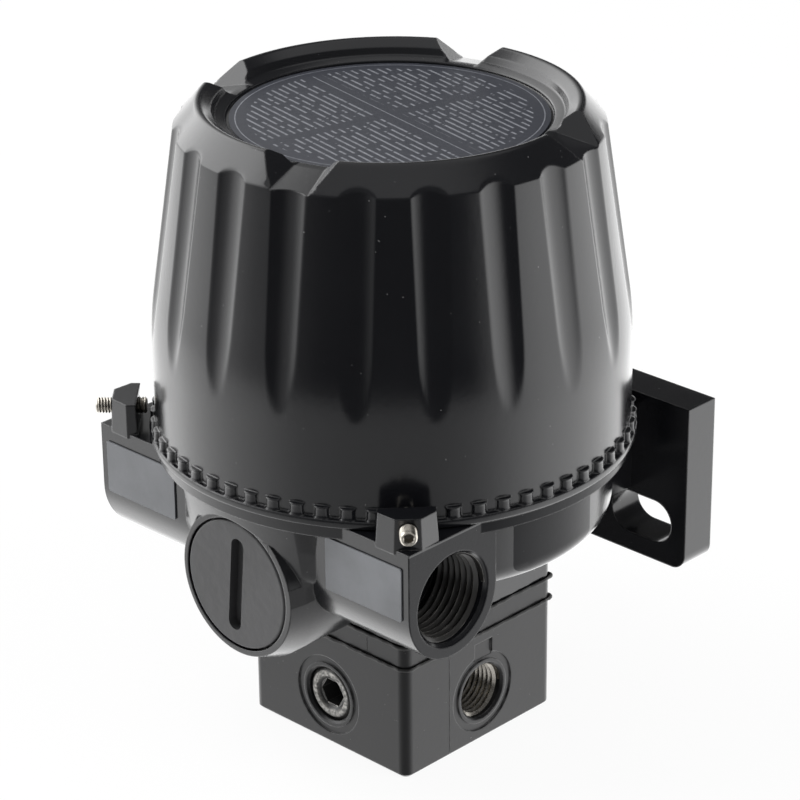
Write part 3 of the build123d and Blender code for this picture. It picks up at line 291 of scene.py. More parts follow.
def print_mask(tree):
    """Where the plate is printed: rows of dashes in four blocks, a rule and a border."""
    x, y, _ = object_axes(tree)
    cosine = math.cos(PRINT_BEARING)
    sine = math.sin(PRINT_BEARING)
    along = turned(tree, x, y, cosine, sine)
    across = turned(tree, y, x, cosine, -sine)
    rows = math_node(tree, "DIVIDE", across, PRINT_PITCH * MM)
    line = math_node(tree, "LESS_THAN", math_node(tree, "FRACT", rows), PRINT_WEIGHT)
    place = tree.nodes.new("ShaderNodeCombineXYZ")
    tree.links.new(math_node(tree, "DIVIDE", along, PRINT_DASH * MM), place.inputs[0])
    row = math_node(tree, "FLOOR", rows)
    tree.links.new(product(tree, row, PRINT_ROW_JUMP), place.inputs[1])
    dashes = tree.nodes.new("ShaderNodeTexNoise")
    dashes.inputs["Scale"].default_value = 1.0
    dashes.inputs["Detail"].default_value = 2.0
    tree.links.new(place.outputs[0], dashes.inputs["Vector"])
    dash = math_node(tree, "GREATER_THAN", dashes.outputs["Fac"], PRINT_LEVEL)
    radius = distance(tree, x, y)
    inside = math_node(tree, "LESS_THAN", radius, PRINT_RADIUS * MM)
    off_along = math_node(tree, "ABSOLUTE", along)
    off_across = math_node(tree, "ABSOLUTE", across)
    beside = math_node(tree, "GREATER_THAN", off_along, PRINT_GAP_ALONG * MM)
    above = math_node(tree, "GREATER_THAN", off_across, PRINT_GAP_ACROSS * MM)
    text = product(tree, line, dash, inside, beside, above)
    rule = product(tree, math_node(tree, "LESS_THAN", off_across, PRINT_RULE * MM), inside)
    border = (PRINT_RADIUS + PRINT_BORDER_OUT) * MM
    ring = math_node(tree, "COMPARE", radius, border, PRINT_BORDER * MM)
    return math_node(tree, "MAXIMUM", math_node(tree, "MAXIMUM", text, rule), ring)


def printed_plate(name, colour, ink):
    """A dark plate with generic print in a faded ink."""
    material, tree, shader = new_material(name)
    fade = ramp(tree, noise(tree, INK_GRAIN, 3.0), [(0.35, 0.55), (0.6, 0.95)])
    share = product(tree, print_mask(tree), fade)
    tree.links.new(blend_colours(tree, share, colour, ink), shader.inputs["Base Color"])
    shader.inputs["Roughness"].default_value = 0.38
    bump(tree, shader, noise(tree, PLATE_GRAIN, 3.0), PLATE_RELIEF)
    return material


def worn_plug(name, colour, wear_and_highlight_colour):
    """Blackened iron of the pipe plug, worn bright on the lip round its socket."""
    material, tree, shader = new_material(name)
    x, _, z = object_axes(tree)
    radius = distance(tree, x, math_node(tree, "SUBTRACT", z, PORT_HEIGHT * MM))
    lip = ramp(
        tree,
        math_node(tree, "DIVIDE", radius, 10.0 * MM),
        [(0.0, 0.0), (0.40, 0.0), (0.46, 0.8), (0.56, 1.0), (0.60, 0.15), (1.0, 0.1)],
    )
    # Worn edges of the plug: partly real wear, partly a painted edge highlight; the lip ring
    # round the socket is real wear.
    worn_and_highlit_edges, rounded = edge_mask(tree, 0.4 * MM)
    patches = ramp(tree, noise(tree, IRON_GRAIN), [(0.36, 0.15), (0.62, 1.0)])
    mask = product(tree, math_node(tree, "MAXIMUM", lip, worn_and_highlit_edges), patches)
    tree.links.new(blend_colours(tree, mask, colour, wear_and_highlight_colour), shader.inputs["Base Color"])
    tree.links.new(product(tree, mask, 0.8), shader.inputs["Metallic"])
    shader.inputs["Roughness"].default_value = 0.42
    bump(tree, shader, noise(tree, IRON_PITS, 3.0), IRON_RELIEF, rounded)
    return material


def matt_ends(material):
    """Less gloss on the turned end faces of the conduit bosses."""
    tree = material.node_tree
    shader = next(n for n in tree.nodes if n.type == "BSDF_PRINCIPLED")
    x, _, z = object_axes(tree)
    out = math_node(tree, "ABSOLUTE", x)
    end = math_node(tree, "GREATER_THAN", out, (CONDUIT_END - 0.3) * MM)
    below = math_node(tree, "LESS_THAN", z, (COVER_BOTTOM - 0.8) * MM)
    on_end = product(tree, end, below)
    gloss = math_node(tree, "MULTIPLY_ADD", on_end, -END_GLOSS_LOSS, PAINT_GLOSS)
    tree.links.new(gloss, shader.inputs["Specular IOR Level"])


MATERIALS = {
    # The last colour of each paint is the lighter colour of its worn edges, partly wear and
    # partly a painted edge highlight.
    "housing_paint": paint(
        "black_gloss_paint", (0.0075, 0.0078, 0.0095), 0.20, 650.0, (0.07, 0.07, 0.07), edge=0.5
    ),
    "base_paint": paint(
        "black_satin_paint", (0.010, 0.010, 0.011), 0.34, 800.0, (0.14, 0.14, 0.14),
        gloss=0.3, edge=0.5,
    ),
    "label_grey": plain("grey_plate", (0.175, 0.182, 0.195), 0.42, 900.0, 0.00004),
    "label_slate": printed_plate("slate_plate", (0.026, 0.029, 0.040), (0.26, 0.27, 0.30)),
    "plug_grey": plain("plug_coating", (0.040, 0.040, 0.042), 0.5, 420.0, 0.00012),
    "steel": metal("bright_steel", (0.62, 0.62, 0.63), 0.25),
    "brass": metal("yellow_brass", (0.72, 0.52, 0.22), 0.28),
    "copper": metal("copper_wire", (0.72, 0.33, 0.17), 0.3),
    "aluminium": metal("machined_aluminium", (0.75, 0.76, 0.78), 0.3),
    "iron": metal("dark_iron", (0.16, 0.16, 0.17), 0.45),
    "rubber": plain("black_rubber", (0.012, 0.012, 0.012), 0.6),
    "board_green": plain("board_mask", (0.02, 0.15, 0.06), 0.35),
    "black_plastic": plain("moulded_black", (0.018, 0.018, 0.018), 0.4),
    "blue_plastic": plain("moulded_blue", (0.02, 0.09, 0.38), 0.3),
    "filter_felt": plain("pressed_fibre", (0.72, 0.69, 0.6), 0.9, 1500.0, 0.0002),
}
# Light worn thread crests: partly wear, partly a painted highlight on the crests.
THREAD_PAINT = paint("thread_paint", (0.026, 0.025, 0.024), 0.30, 900.0, (0.32, 0.31, 0.29))
THREAD_METAL = metal("thread_metal", (0.58, 0.55, 0.50), 0.28, 900.0)
SCREW_METAL = metal("set_screw_steel", (0.50, 0.47, 0.42), 0.30, 900.0)
PLUG_IRON = worn_plug("worn_iron", (0.020, 0.020, 0.020), (0.34, 0.33, 0.31))


def add_piece(name, mesh, body, slot, *replaced, look=None):
    """An object of the part: it rides on a body and stands for the nodes named."""
    piece = bpy.data.objects.new(name, mesh)
    bpy.context.scene.collection.objects.link(piece)
    mesh.materials.append(look or MATERIALS[slot])
    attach(piece, body)
    if replaced:
        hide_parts(*replaced)
    return piece


def grid(rows, first_cap=None, last_cap=None):
    """Points and faces through rows of points that close round an axis, with end caps."""
    count = len(rows[0])
    points = [tuple(point) for row in rows for point in row]
    faces = []
    for j in range(len(rows) - 1):
        low = j * count
        high = low + count
        for i in range(count):
            k = (i + 1) % count
            faces.append((low + i, low + k, high + k, high + i))
    for cap, start, flip in ((first_cap, 0, True), (last_cap, (len(rows) - 1) * count, False)):
        if cap is None:
            continue
        points.append(tuple(cap))
        for i in range(count):
            a, b = start + i, start + (i + 1) % count
            faces.append((b, a, len(points) - 1) if flip else (a, b, len(points) - 1))
    return points, faces


def make_mesh(name, shapes, angle):
    """One mesh from shapes in millimetres, smooth but for edges sharper than the angle."""
    points = []
    faces = []
    for shape_points, shape_faces in shapes:
        start = len(points)
        points += [tuple(c * MM for c in point) for point in shape_points]
        faces += [tuple(start + i for i in face) for face in shape_faces]
    mesh = bpy.data.meshes.new(name)
    mesh.from_pydata(points, [], faces)
    mesh.update()
    mesh.shade_smooth()
    mesh.set_sharp_from_angle(angle=math.radians(angle))
    return mesh


# Cover, in millimetres, from the same sizes as the solid
FLANGE_RADIUS = 57.5
FLANGE_TOP = 79.6
SKIRT_RADIUS = 56.1
SKIRT_EVEN = 92.0
SKIRT_STRAIGHT = 100.0
TAPER_START = (55.1, 114.0)
SHOULDER = (49.4, 152.6)
CREST_HEIGHT = 158.6
CREST_OUTER = 44.1
CREST_INNER = 42.9
CREST_LIP = (40.4, 157.0)
CREST_FOOT = (39.7, 155.3)
LEDGE_END = (37.3, 154.7)
RECESS_RADIUS = 37.3
RECESS_FLOOR = 153.9
RECESS_FLAT = 6.0
COVER_CEILING = 149.5
CEILING_RADIUS = 20.0
COVER_INNER = ((43.15, 149.5), (49.85, 114.0), (51.9, 99.6), (51.1, 99.6))
COVER_BORE = 51.1
RING_GROOVE = (80.85, 83.15, 53.1)
FLANGE_ROUND = 0.5
SHOULDER_ROUND = 0.9
RIM_ROUND = 1.2
CREST_ROUND = 2.0
LIP_ROUND = 0.8
FOOT_ROUND = 0.45
LEDGE_ROUND = 0.3
COVER_SMOOTH = 28

# Flutes and notches: places of the grid lines are in degrees from the middle and the wall
FLUTES = 20
FLUTE_RADIUS = 8.0
FLUTE_DEPTH = 1.15
FLUTE_FADE = 0.3
FLUTE_END = 102.5
FLUTE_RUN_OUT = 16.0
FLUTE_BLEND = 0.22
FLUTE_LINES = (0.0, 1.0, 2.0, 2.8, 3.4, 3.8, 4.1, 4.4, 4.6, 4.8, 5.0, 5.25, 5.6, 6.2, 7.0, 8.0)
NOTCHES = 4
NOTCH_TURN = math.radians(-72.0)
NOTCH_HALF_ANGLE = math.radians(5.4)
NOTCH_INNER = (38.2, 155.0)
NOTCH_OUTER = (49.4, 152.3)
NOTCH_WALL_SLOPE = 1.05
NOTCH_LIP = math.radians(7.0)
NOTCH_REACH = math.radians(12.3)
NOTCH_LINES = (-0.25, -0.1, 0.0, 0.1, 0.25, 0.9, 1.45, 1.75, 2.2, 3.2, 5.0)

# Teeth of the flange: (share of the height, inset) of each row from the foot to the dome
TEETH = 60
TOOTH_PHASE = math.radians(-2.1)
TOOTH_HALF = 1.65
TOOTH_LENS_HALF = 2.1
TOOTH_HEIGHT = 2.8
TOOTH_OUTER = 57.2
TOOTH_LENS_OUTER = 57.45
TOOTH_ROOT = 0.5
TOOTH_SUNK = 0.05
TOOTH_DOME = 0.9
TOOTH_ROWS = (
    (0.0, 0.0), (0.07, 0.0), (0.15, 0.0), (0.25, 0.0), (0.72, 0.0), (0.83, 0.0), (0.9, 0.0),
    (0.95, 0.07), (0.98, 0.22), (1.0, 0.5),
)


def arc_points(start, end, steps):
    """Points of the skirt's arc, upright at its start, between two (radius, height) places."""
    (r0, z0), (r1, z1) = start, end
    span = ((r0 - r1) ** 2 + (z1 - z0) ** 2) / (2 * (r0 - r1))
    sweep = math.asin((z1 - z0) / span)
    turns = [sweep * k / steps for k in range(1, steps + 1)]
    return [(r0 - span + span * math.cos(t), z0 + span * math.sin(t)) for t in turns]


def line_points(start, end, steps):
    """Points of a straight run after its start."""
    return [
        tuple(a + (b - a) * k / steps for a, b in zip(start, end)) for k in range(1, steps + 1)
    ]


def rounded_corner(before, corner, after, radius, steps):
    """Points of a rounded corner of a profile."""
    corner = Vector(corner)
    back = (Vector(before) - corner).normalized()
    ahead = (Vector(after) - corner).normalized()
    half = back.angle(ahead) / 2
    reach = radius / math.tan(half)
    start = corner + back * reach
    end = corner + ahead * reach
    centre = corner + (back + ahead).normalized() * radius / math.sin(half)
    spokes = [(start - centre).slerp(end - centre, k / steps) for k in range(steps + 1)]
    return [tuple(centre + spoke.normalized() * radius) for spoke in spokes]


def cover_inside():
    """Inner section of the cover from its ceiling down to the mouth."""
    bore = COVER_BORE
    low, high, deep = RING_GROOVE
    corner = COVER_INNER[0][0]
    profile = [(CEILING_RADIUS, COVER_CEILING), (corner - 1.0, COVER_CEILING)]
    profile += [(corner, COVER_CEILING - 1.0)]
    profile += line_points(profile[-1], COVER_INNER[1], 3)
    profile += [COVER_INNER[2], COVER_INNER[3]]
    profile += [(bore, high), (deep, high), (deep, low), (bore, low)]
    return profile + [(bore, COVER_BOTTOM + 0.4), (bore + 0.4, COVER_BOTTOM)]


def cover_outside():
    """Outer section of the cover from the mouth by the skirt and crest to the recess."""
    bottom = (FLANGE_RADIUS, COVER_BOTTOM)
    edge = (FLANGE_RADIUS, FLANGE_TOP)
    profile = [(FLANGE_RADIUS - 0.6, COVER_BOTTOM)]
    profile += rounded_corner(profile[-1], bottom, edge, FLANGE_ROUND, 4)
    profile += rounded_corner(profile[-1], edge, (SKIRT_RADIUS, FLANGE_TOP), FLANGE_ROUND, 4)
    profile += [(SKIRT_RADIUS + 0.2, FLANGE_TOP), (SKIRT_RADIUS, FLANGE_TOP + 0.2)]
    top = (SKIRT_RADIUS, SKIRT_STRAIGHT)
    profile += line_points(profile[-1], (SKIRT_RADIUS, SKIRT_EVEN), 3)
    profile += line_points(profile[-1], top, 6)
    profile += arc_points(top, TAPER_START, 12)
    crest_outer = (CREST_OUTER, CREST_HEIGHT)
    crest_inner = (CREST_INNER, CREST_HEIGHT)
    recess_foot = (RECESS_RADIUS, RECESS_FLOOR)
    shoulder = rounded_corner(TAPER_START, SHOULDER, crest_outer, SHOULDER_ROUND, 6)
    profile += line_points(TAPER_START, shoulder[0], 22) + shoulder[1:]
    rim = rounded_corner(SHOULDER, crest_outer, crest_inner, RIM_ROUND, 6)
    profile += line_points(profile[-1], rim[0], 10) + rim[1:]
    lip = rounded_corner(crest_inner, CREST_LIP, CREST_FOOT, LIP_ROUND, 5)
    profile += rounded_corner(crest_outer, crest_inner, CREST_LIP, CREST_ROUND, 5)
    profile += line_points(profile[-1], lip[0], 3)[:-1] + lip
    profile += rounded_corner(CREST_LIP, CREST_FOOT, LEDGE_END, FOOT_ROUND, 4)
    profile += rounded_corner(CREST_FOOT, LEDGE_END, recess_foot, LEDGE_ROUND, 3)
    return profile + [recess_foot, (RECESS_RADIUS - RECESS_FLAT, RECESS_FLOOR)]


def cover_angles():
    """Bearings of the grid lines, close together where flutes and notches have their edges."""
    period = 2 * math.pi / FLUTES
    half = [math.radians(o) for o in FLUTE_LINES]
    lines = sorted({-o for o in half} | set(half))
    bearings = [i * period + o for i in range(FLUTES) for o in lines + [period / 2]]
    for i in range(NOTCHES):
        middle = NOTCH_TURN + i * 2 * math.pi / NOTCHES
        for side in (-1, 1):
            for line in NOTCH_LINES:
                bearings.append(middle + side * (NOTCH_HALF_ANGLE + math.radians(line)))
    return sorted({round(b % (2 * math.pi), 6) for b in bearings})


def soft_least(a, b, blend):
    """The smaller of two numbers, blended where they are close."""
    h = max(blend - abs(a - b), 0.0) / blend
    return min(a, b) - h * h * blend / 4


def flute_radius_at(bearing, height, radius):
    """Radius of the cover where its flutes cut it, shallower downwards and run out."""
    period = 2 * math.pi / FLUTES
    off = (bearing + period / 2) % period - period / 2
    rise = min(1.0, max(0.0, (height - FLUTE_END) / FLUTE_RUN_OUT))
    if rise == 0.0:
        return radius
    taper = (TAPER_START[0] - SHOULDER[0]) / (SHOULDER[1] - TAPER_START[1])
    land = radius if height < SHOULDER[1] - 1.0 else SHOULDER[0] - taper * (height - SHOULDER[1])
    fade = 1.0 - FLUTE_FADE * (SHOULDER[1] - height) / (SHOULDER[1] - FLUTE_END)
    depth = FLUTE_DEPTH * min(1.0, fade) * (1.0 - (1.0 - rise) ** 2)
    side = min(FLUTE_RADIUS, abs(land * math.sin(off)))
    floor = land - depth + FLUTE_RADIUS - math.sqrt(FLUTE_RADIUS**2 - side**2)
    return soft_least(radius, floor, FLUTE_BLEND * min(1.0, 0.15 + rise))


def notch_floor(radius):
    """Height of the floor of the notches."""
    (r0, z0), (r1, z1) = NOTCH_INNER, NOTCH_OUTER
    return z0 + (z1 - z0) * (radius - r0) / (r1 - r0)


def notch_offset(bearing):
    """Turn from the middle of the nearest notch."""
    half = math.pi / NOTCHES
    return (bearing - NOTCH_TURN + half) % (2 * half) - half


def notch_height_at(bearing, height, radius):
    """Height of the cover where the notches cut its crest."""
    wall = max(0.0, abs(notch_offset(bearing)) - NOTCH_HALF_ANGLE) * radius * NOTCH_WALL_SLOPE
    return min(height, notch_floor(radius) + wall)


def notch_bearing(bearing, height, radius):
    """Bearing of a grid line, drawn on to the foot and the lip of the notch's walls."""
    off = notch_offset(bearing)
    size = abs(off)
    if not NOTCH_HALF_ANGLE < size < NOTCH_REACH:
        return bearing
    rise = max(0.04, height - notch_floor(radius))
    lip = NOTCH_HALF_ANGLE + rise / (radius * NOTCH_WALL_SLOPE)
    if size <= NOTCH_LIP:
        share = (size - NOTCH_HALF_ANGLE) / (NOTCH_LIP - NOTCH_HALF_ANGLE)
        moved = NOTCH_HALF_ANGLE + (lip - NOTCH_HALF_ANGLE) * share
    else:
        moved = lip + (NOTCH_REACH - lip) * (size - NOTCH_LIP) / (NOTCH_REACH - NOTCH_LIP)
    return bearing + math.copysign(moved - size, off)


def tooth_outline(flare, inset):
    """Outline of a tooth at one height, as (across, outwards) points from the skirt."""
    half = TOOTH_HALF + (TOOTH_LENS_HALF - TOOTH_HALF) * flare - 0.5 * inset
    reach = TOOTH_OUTER + (TOOTH_LENS_OUTER - TOOTH_OUTER) * flare - SKIRT_RADIUS - inset
    power = 3.2 - 1.2 * flare
    outline = []
    for step in range(-6, 7):
        side = math.sin(step / 6 * math.pi / 2)
        outline.append((half * side, reach * (1 - abs(side) ** power) ** (1 / 1.6)))
    return [(-half, -TOOTH_ROOT)] + outline + [(half, -TOOTH_ROOT)]


def tooth(bearing):
    """One tooth of the flange: a rounded block whose top and foot flare to a lens."""
    rows = []
    for share, inset in TOOTH_ROWS:
        edge = min(share, 1.0 - share)
        flare = max(0.0, 1.0 - edge / 0.25) ** 2
        if share >= TOOTH_DOME:
            flare = 0.5 + 5.0 * (share - TOOTH_DOME)
        height = FLANGE_TOP - TOOTH_SUNK + (TOOTH_HEIGHT + TOOTH_SUNK) * share
        row = []
        for across, out in tooth_outline(flare, inset):
            turn = bearing + across / SKIRT_RADIUS
            radius = SKIRT_RADIUS + out
            row.append((radius * math.cos(turn), radius * math.sin(turn), height))
        rows.append(row)
    middle = SKIRT_RADIUS + 0.3
    ends = [(middle * math.cos(bearing), middle * math.sin(bearing), row[0][2]) for row in rows]
    return grid(rows, ends[0], ends[-1])


def cover_row(bearings, radius, height):
    """One row of the cover's outside, with flutes and notches cut into it."""
    row = []
    for bearing in bearings:
        r, z, turn = radius, height, bearing
        if height > FLANGE_TOP + 1.0 and radius > RECESS_RADIUS - 0.1:
            if height > SHOULDER[1] - 0.5 and radius < SHOULDER[0] + 0.05:
                turn = notch_bearing(bearing, height, radius)
            r = flute_radius_at(turn, z, r)
            z = notch_height_at(turn, z, r)
        row.append((r * math.cos(turn), r * math.sin(turn), z))
    return row


def make_cover():
    """The cover with flutes and notched crest, its inside and its teeth."""
    bearings = cover_angles()
    rows = [[(r * math.cos(t), r * math.sin(t), z) for t in bearings] for r, z in cover_inside()]
    rows += [cover_row(bearings, radius, height) for radius, height in cover_outside()]
    shapes = [grid(rows, (0, 0, COVER_CEILING), (0, 0, RECESS_FLOOR))]
    shapes += [tooth(TOOTH_PHASE + 2 * math.pi * i / TEETH) for i in range(TEETH)]
    mesh = make_mesh("cover_shell", shapes, COVER_SMOOTH)
    add_piece("cover_shell", mesh, "cover", "housing_paint", "cover")


# Threads, in millimetres: bore, crest, pitch, start and end of each pipe thread
CONDUIT_THREAD = (10.65, 9.75, 1.814, 1.3, 15.4)
PORT_THREAD = (6.9, 6.2, 1.411, 1.2, 13.2)
THREAD_STEPS = 56
THREAD_RUN_OUT = 0.4
THREAD_SUNK = 0.25
THREAD_SMOOTH = 50

# Set screws, in millimetres: reach and height of the point, then sizes along the screw
SCREW_START = 58.1
SCREW_HEIGHT = 82.0
SCREW_PITCH = 0.7
SCREW_DEPTH = 0.30
SCREW_CREST = 1.97
SCREW_POINT = 1.55
SCREW_THREADED = (0.35, 11.3)
SCREW_LENGTH = 12.0
SCREW_END = (1.62, 1.30)
SCREW_COLUMNS = 36
SOCKET_HALF = 1.0
SOCKET_MOUTH = 11.75
SOCKET_FLOOR = 9.6
SOCKET_POINT = 9.3


def thread_ridge(place, inwards, bore, crest, pitch, start, end):
    """A helical ridge that stands on the wall of a bore, with its ends run out."""
    inwards = Vector(inwards)
    up = Vector((0, 0, 1))
    across = inwards.cross(up).normalized()
    up = across.cross(inwards)
    count = int((end - start) / pitch * THREAD_STEPS)
    run_out = THREAD_RUN_OUT * THREAD_STEPS
    wall = bore + THREAD_SUNK
    foot = bore + 0.02
    rows = []
    for k in range(count + 1):
        turn = 2 * math.pi * k / THREAD_STEPS
        depth = start + pitch * k / THREAD_STEPS
        top = bore - (bore - crest) * min(1.0, k / run_out, (count - k) / run_out)
        spoke = across * math.cos(turn) + up * math.sin(turn)
        row = []
        for radius, along in (
            (wall, -0.30), (foot, -0.46), (top, -0.07), (top, 0.07), (foot, 0.46), (wall, 0.30),
        ):
            row.append(Vector(place) + spoke * radius + inwards * (depth + along * pitch))
        rows.append(row)
    ends = [sum(row, Vector()) / len(row) for row in (rows[0], rows[-1])]
    return grid(rows, ends[0], ends[1])


def make_threads():
    """Pipe threads in the conduit mouths and the air ports."""
    for name, side in (("right", 1), ("left", -1)):
        mouth = (side * CONDUIT_END, -CONDUIT_FORWARD, CONDUIT_HEIGHT)
        shape = thread_ridge(mouth, (-side, 0, 0), *CONDUIT_THREAD)
        mesh = make_mesh("conduit_thread_" + name, [shape], THREAD_SMOOTH)
        add_piece("conduit_thread_" + name, mesh, "housing", "housing_paint", look=THREAD_PAINT)
        mouth = (side * BASE_HALF, PORT_BACK, PORT_HEIGHT)
        shape = thread_ridge(mouth, (-side, 0, 0), *PORT_THREAD)
        mesh = make_mesh("port_thread_" + name, [shape], THREAD_SMOOTH)
        add_piece("port_thread_" + name, mesh, "housing", "steel", look=THREAD_METAL)


def make_set_screw(name, side):
    """A socket set screw with its thread, on the corner of one conduit boss."""
    angle = -math.atan2(CONDUIT_FORWARD + CONDUIT_RADIUS, CONDUIT_END)
    outwards = Vector((side * math.cos(angle), math.sin(angle), 0))
    across = Vector((-outwards.y, outwards.x, 0))
    up = Vector((0, 0, 1))
    start = outwards * SCREW_START + Vector((0, 0, SCREW_HEIGHT))
    turns = [2 * math.pi * i / SCREW_COLUMNS for i in range(SCREW_COLUMNS)]

    def ring(along, radii):
        spokes = zip(turns, radii)
        middle = start + outwards * along
        return [middle + across * r * math.cos(t) + up * r * math.sin(t) for t, r in spokes]

    def thread_radius(along, turn):
        wave = (along / SCREW_PITCH - turn / (2 * math.pi)) % 1.0
        run_out = max(0.0, min(1.0, (along - 0.3) / 0.6, (11.9 - along) / 0.5))
        return SCREW_CREST - SCREW_DEPTH * run_out * (1 - abs(2 * wave - 1))

    first, length = SCREW_THREADED
    steps = int(length / SCREW_PITCH * 8)
    rows = [ring(0.0, [SCREW_POINT] * SCREW_COLUMNS)]
    for k in range(steps + 1):
        along = first + length * k / steps
        rows.append(ring(along, [thread_radius(along, t) for t in turns]))
    rows += [ring(SCREW_LENGTH, [radius] * SCREW_COLUMNS) for radius in SCREW_END]
    sixth = math.pi / 3
    hexagon = [SOCKET_HALF / math.cos((t + sixth / 2) % sixth - sixth / 2) for t in turns]
    rows += [ring(along, hexagon) for along in (SOCKET_MOUTH, SOCKET_FLOOR)]
    shape = grid(rows, start, start + outwards * SOCKET_POINT)
    mesh = make_mesh(name + "_threaded", [shape], 35)
    add_piece(name + "_threaded", mesh, name, "steel", name, look=SCREW_METAL)


# Gasket edges, in millimetres: bottoms, thickness, reach, and the clamped outline
GASKET_BOTTOMS = (("lower", 29.0), ("upper", 34.8))
GASKET_THICKNESS = 0.6
GASKET_REACH = 0.37
GASKET_STEP = 0.7
GASKET_FRONT = -23.35
GASKET_BACK = 28.1
GASKET_CORNER = 2.4
GASKET_SECTION = ((-1.0, 0.1), (0.0, 0.0), (0.75, 0.0), (1.0, 0.3), (1.0, 0.7), (0.75, 1.0))
NUB_PLACE = (25.3, 27.6)
NUB_SIZE = 1.1


def strip_loop(points, bottom, swell):
    """Rows of a flat band that follows closed points, pushed out by a swell at each of them."""
    rows = [[] for _ in GASKET_SECTION]
    count = len(points)
    for i, (x, y) in enumerate(points):
        (x0, y0), (x1, y1) = points[i - 1], points[(i + 1) % count]
        normal = Vector((y1 - y0, -(x1 - x0), 0)).normalized()
        out, thick = swell[i]
        reach = GASKET_REACH + out
        for row, (share, rise) in zip(rows, GASKET_SECTION):
            d = reach * share if share > 0 else share
            z = bottom - thick + (GASKET_THICKNESS + 2 * thick) * rise
            row.append((x + normal.x * d, y + normal.y * d, z))
    rows.append([(x, y, bottom + GASKET_THICKNESS) for x, y, z in rows[1]])
    return rows


def gasket_outline():
    """The clamped outline with round corners, in short steps."""
    right = BASE_HALF - GASKET_CORNER
    back = GASKET_BACK - GASKET_CORNER
    front = GASKET_FRONT + GASKET_CORNER
    outline = []
    for cx, cy, start in (
        (right, back, 0), (-right, back, 90), (-right, front, 180), (right, front, 270),
    ):
        for k in range(7):
            turn = math.radians(start + 15 * k)
            outline.append(
                (cx + GASKET_CORNER * math.cos(turn), cy + GASKET_CORNER * math.sin(turn))
            )
    dense = []
    for i, (x, y) in enumerate(outline):
        x1, y1 = outline[(i + 1) % len(outline)]
        pieces = max(1, int(math.hypot(x1 - x, y1 - y) / GASKET_STEP))
        dense += [(x + (x1 - x) * k / pieces, y + (y1 - y) * k / pieces) for k in range(pieces)]
    return dense


def make_gaskets():
    """Rubber squeezed out unevenly where the two diaphragms are clamped."""
    source = random.Random(7)
    outline = gasket_outline()
    for name, bottom in GASKET_BOTTOMS:
        swell = []
        out = 0.0
        for x, y in outline:
            out = 0.6 * out + 0.4 * source.uniform(-0.15, 0.55)
            nub = max(0.0, 1.0 - math.hypot(x - NUB_PLACE[0], y - NUB_PLACE[1]) / NUB_SIZE)
            swell.append((max(0.0, out) + 0.9 * nub, 0.12 + 0.1 * max(0.0, out) + 0.35 * nub))
        rows = strip_loop(outline, bottom, swell)
        rows.append(rows[0])
        mesh = make_mesh("gasket_edge_" + name, [grid(rows)], 50)
        add_piece("gasket_edge_" + name, mesh, "housing", "rubber")


# Parting lines, in millimetres: (low, high) corners of each fine ridge
FOOT_LINE = ((13.32, -23.40), (13.48, -23.2))
BASE_LINE = ((-8.38, 1.2), (-8.22, 28.4))
BASE_LINE_REACH = (25.7, 25.90)
PARTING_LINES = [
    ((*FOOT_LINE[0], 36.4), (*FOOT_LINE[1], 48.0)),
    ((*FOOT_LINE[0], 30.2), (*FOOT_LINE[1], 34.2)),
    ((BASE_LINE_REACH[0], *BASE_LINE[0]), (BASE_LINE_REACH[1], *BASE_LINE[1])),
    ((-BASE_LINE_REACH[1], *BASE_LINE[0]), (-BASE_LINE_REACH[0], *BASE_LINE[1])),
]


def box_shape(low, high):
    """A plain box between two corners."""
    (x0, y0, z0), (x1, y1, z1) = low, high
    points = [(x, y, z) for z in (z0, z1) for x, y in ((x0, y0), (x1, y0), (x1, y1), (x0, y1))]
    faces = [(3, 2, 1, 0), (4, 5, 6, 7), (0, 1, 5, 4), (1, 2, 6, 5), (2, 3, 7, 6), (3, 0, 4, 7)]
    return points, faces


def make_parting_lines():
    """Fine raised lines that the casting dies left on the base, the spacer and the foot."""
    mesh = make_mesh("parting_lines", [box_shape(low, high) for low, high in PARTING_LINES], 30)
    add_piece("parting_lines", mesh, "housing", "base_paint")


# Housing, in millimetres: plug boss, shield and lugs of the solid, and the softer cast forms
PLUG_HEIGHT = 54.1
BOSS_RADIUS = 19.6
BOSS_FACE = 52.0
BOSS_ROOT = 46.5
SHIELD_HALF = 22.7
SHIELD_TOP_RADIUS = 54.8
SHIELD_DRAFT = 0.178
RIM_TOP = 77.41
LUG_TOP = 87.8
LUG_REACH = 52.3
CAST_FACE_RADIUS = 17.7
CAST_FACE = 51.8
CAST_SHIELD_HALF = 18.4
CAST_ROOT_FROM = 42.0
CAST_LUG_DROP = 3.0
CAST_LUG_TAPER = 0.92
CAST_FRONT = 45.7
CAST_LOW = 30.0
FLANK_FROM = 19.0
FLANK_FRONT = 46.0
FLANK_RIDGE_TURN = 0.45
FLANK_FOOT_TURN = 1.1
TAPER_FRONT = 30.0
ON_SURFACE = 0.06


def shield_radius(height):
    """Radius of the drafted front of the shield."""
    return SHIELD_TOP_RADIUS - SHIELD_DRAFT * (RIM_TOP - height)


def on_conduit_boss(y, z):
    """Whether a point lies on the conduit bosses' flat front or on the round below it."""
    below = max(0.0, CONDUIT_HEIGHT - z)
    if below > CONDUIT_RADIUS:
        return False
    reach = CONDUIT_FORWARD + math.sqrt(CONDUIT_RADIUS**2 - below * below)
    return abs(y + reach) < ON_SURFACE


def on_lug_top(x, y, z):
    """Whether a point lies on the top of a lug."""
    return z > LUG_TOP - 0.1 and math.hypot(x, y) > LUG_REACH


def on_shield(x, z):
    """The place on the shield's front at one width and height."""
    return x, -math.sqrt(shield_radius(z) ** 2 - x * x), z


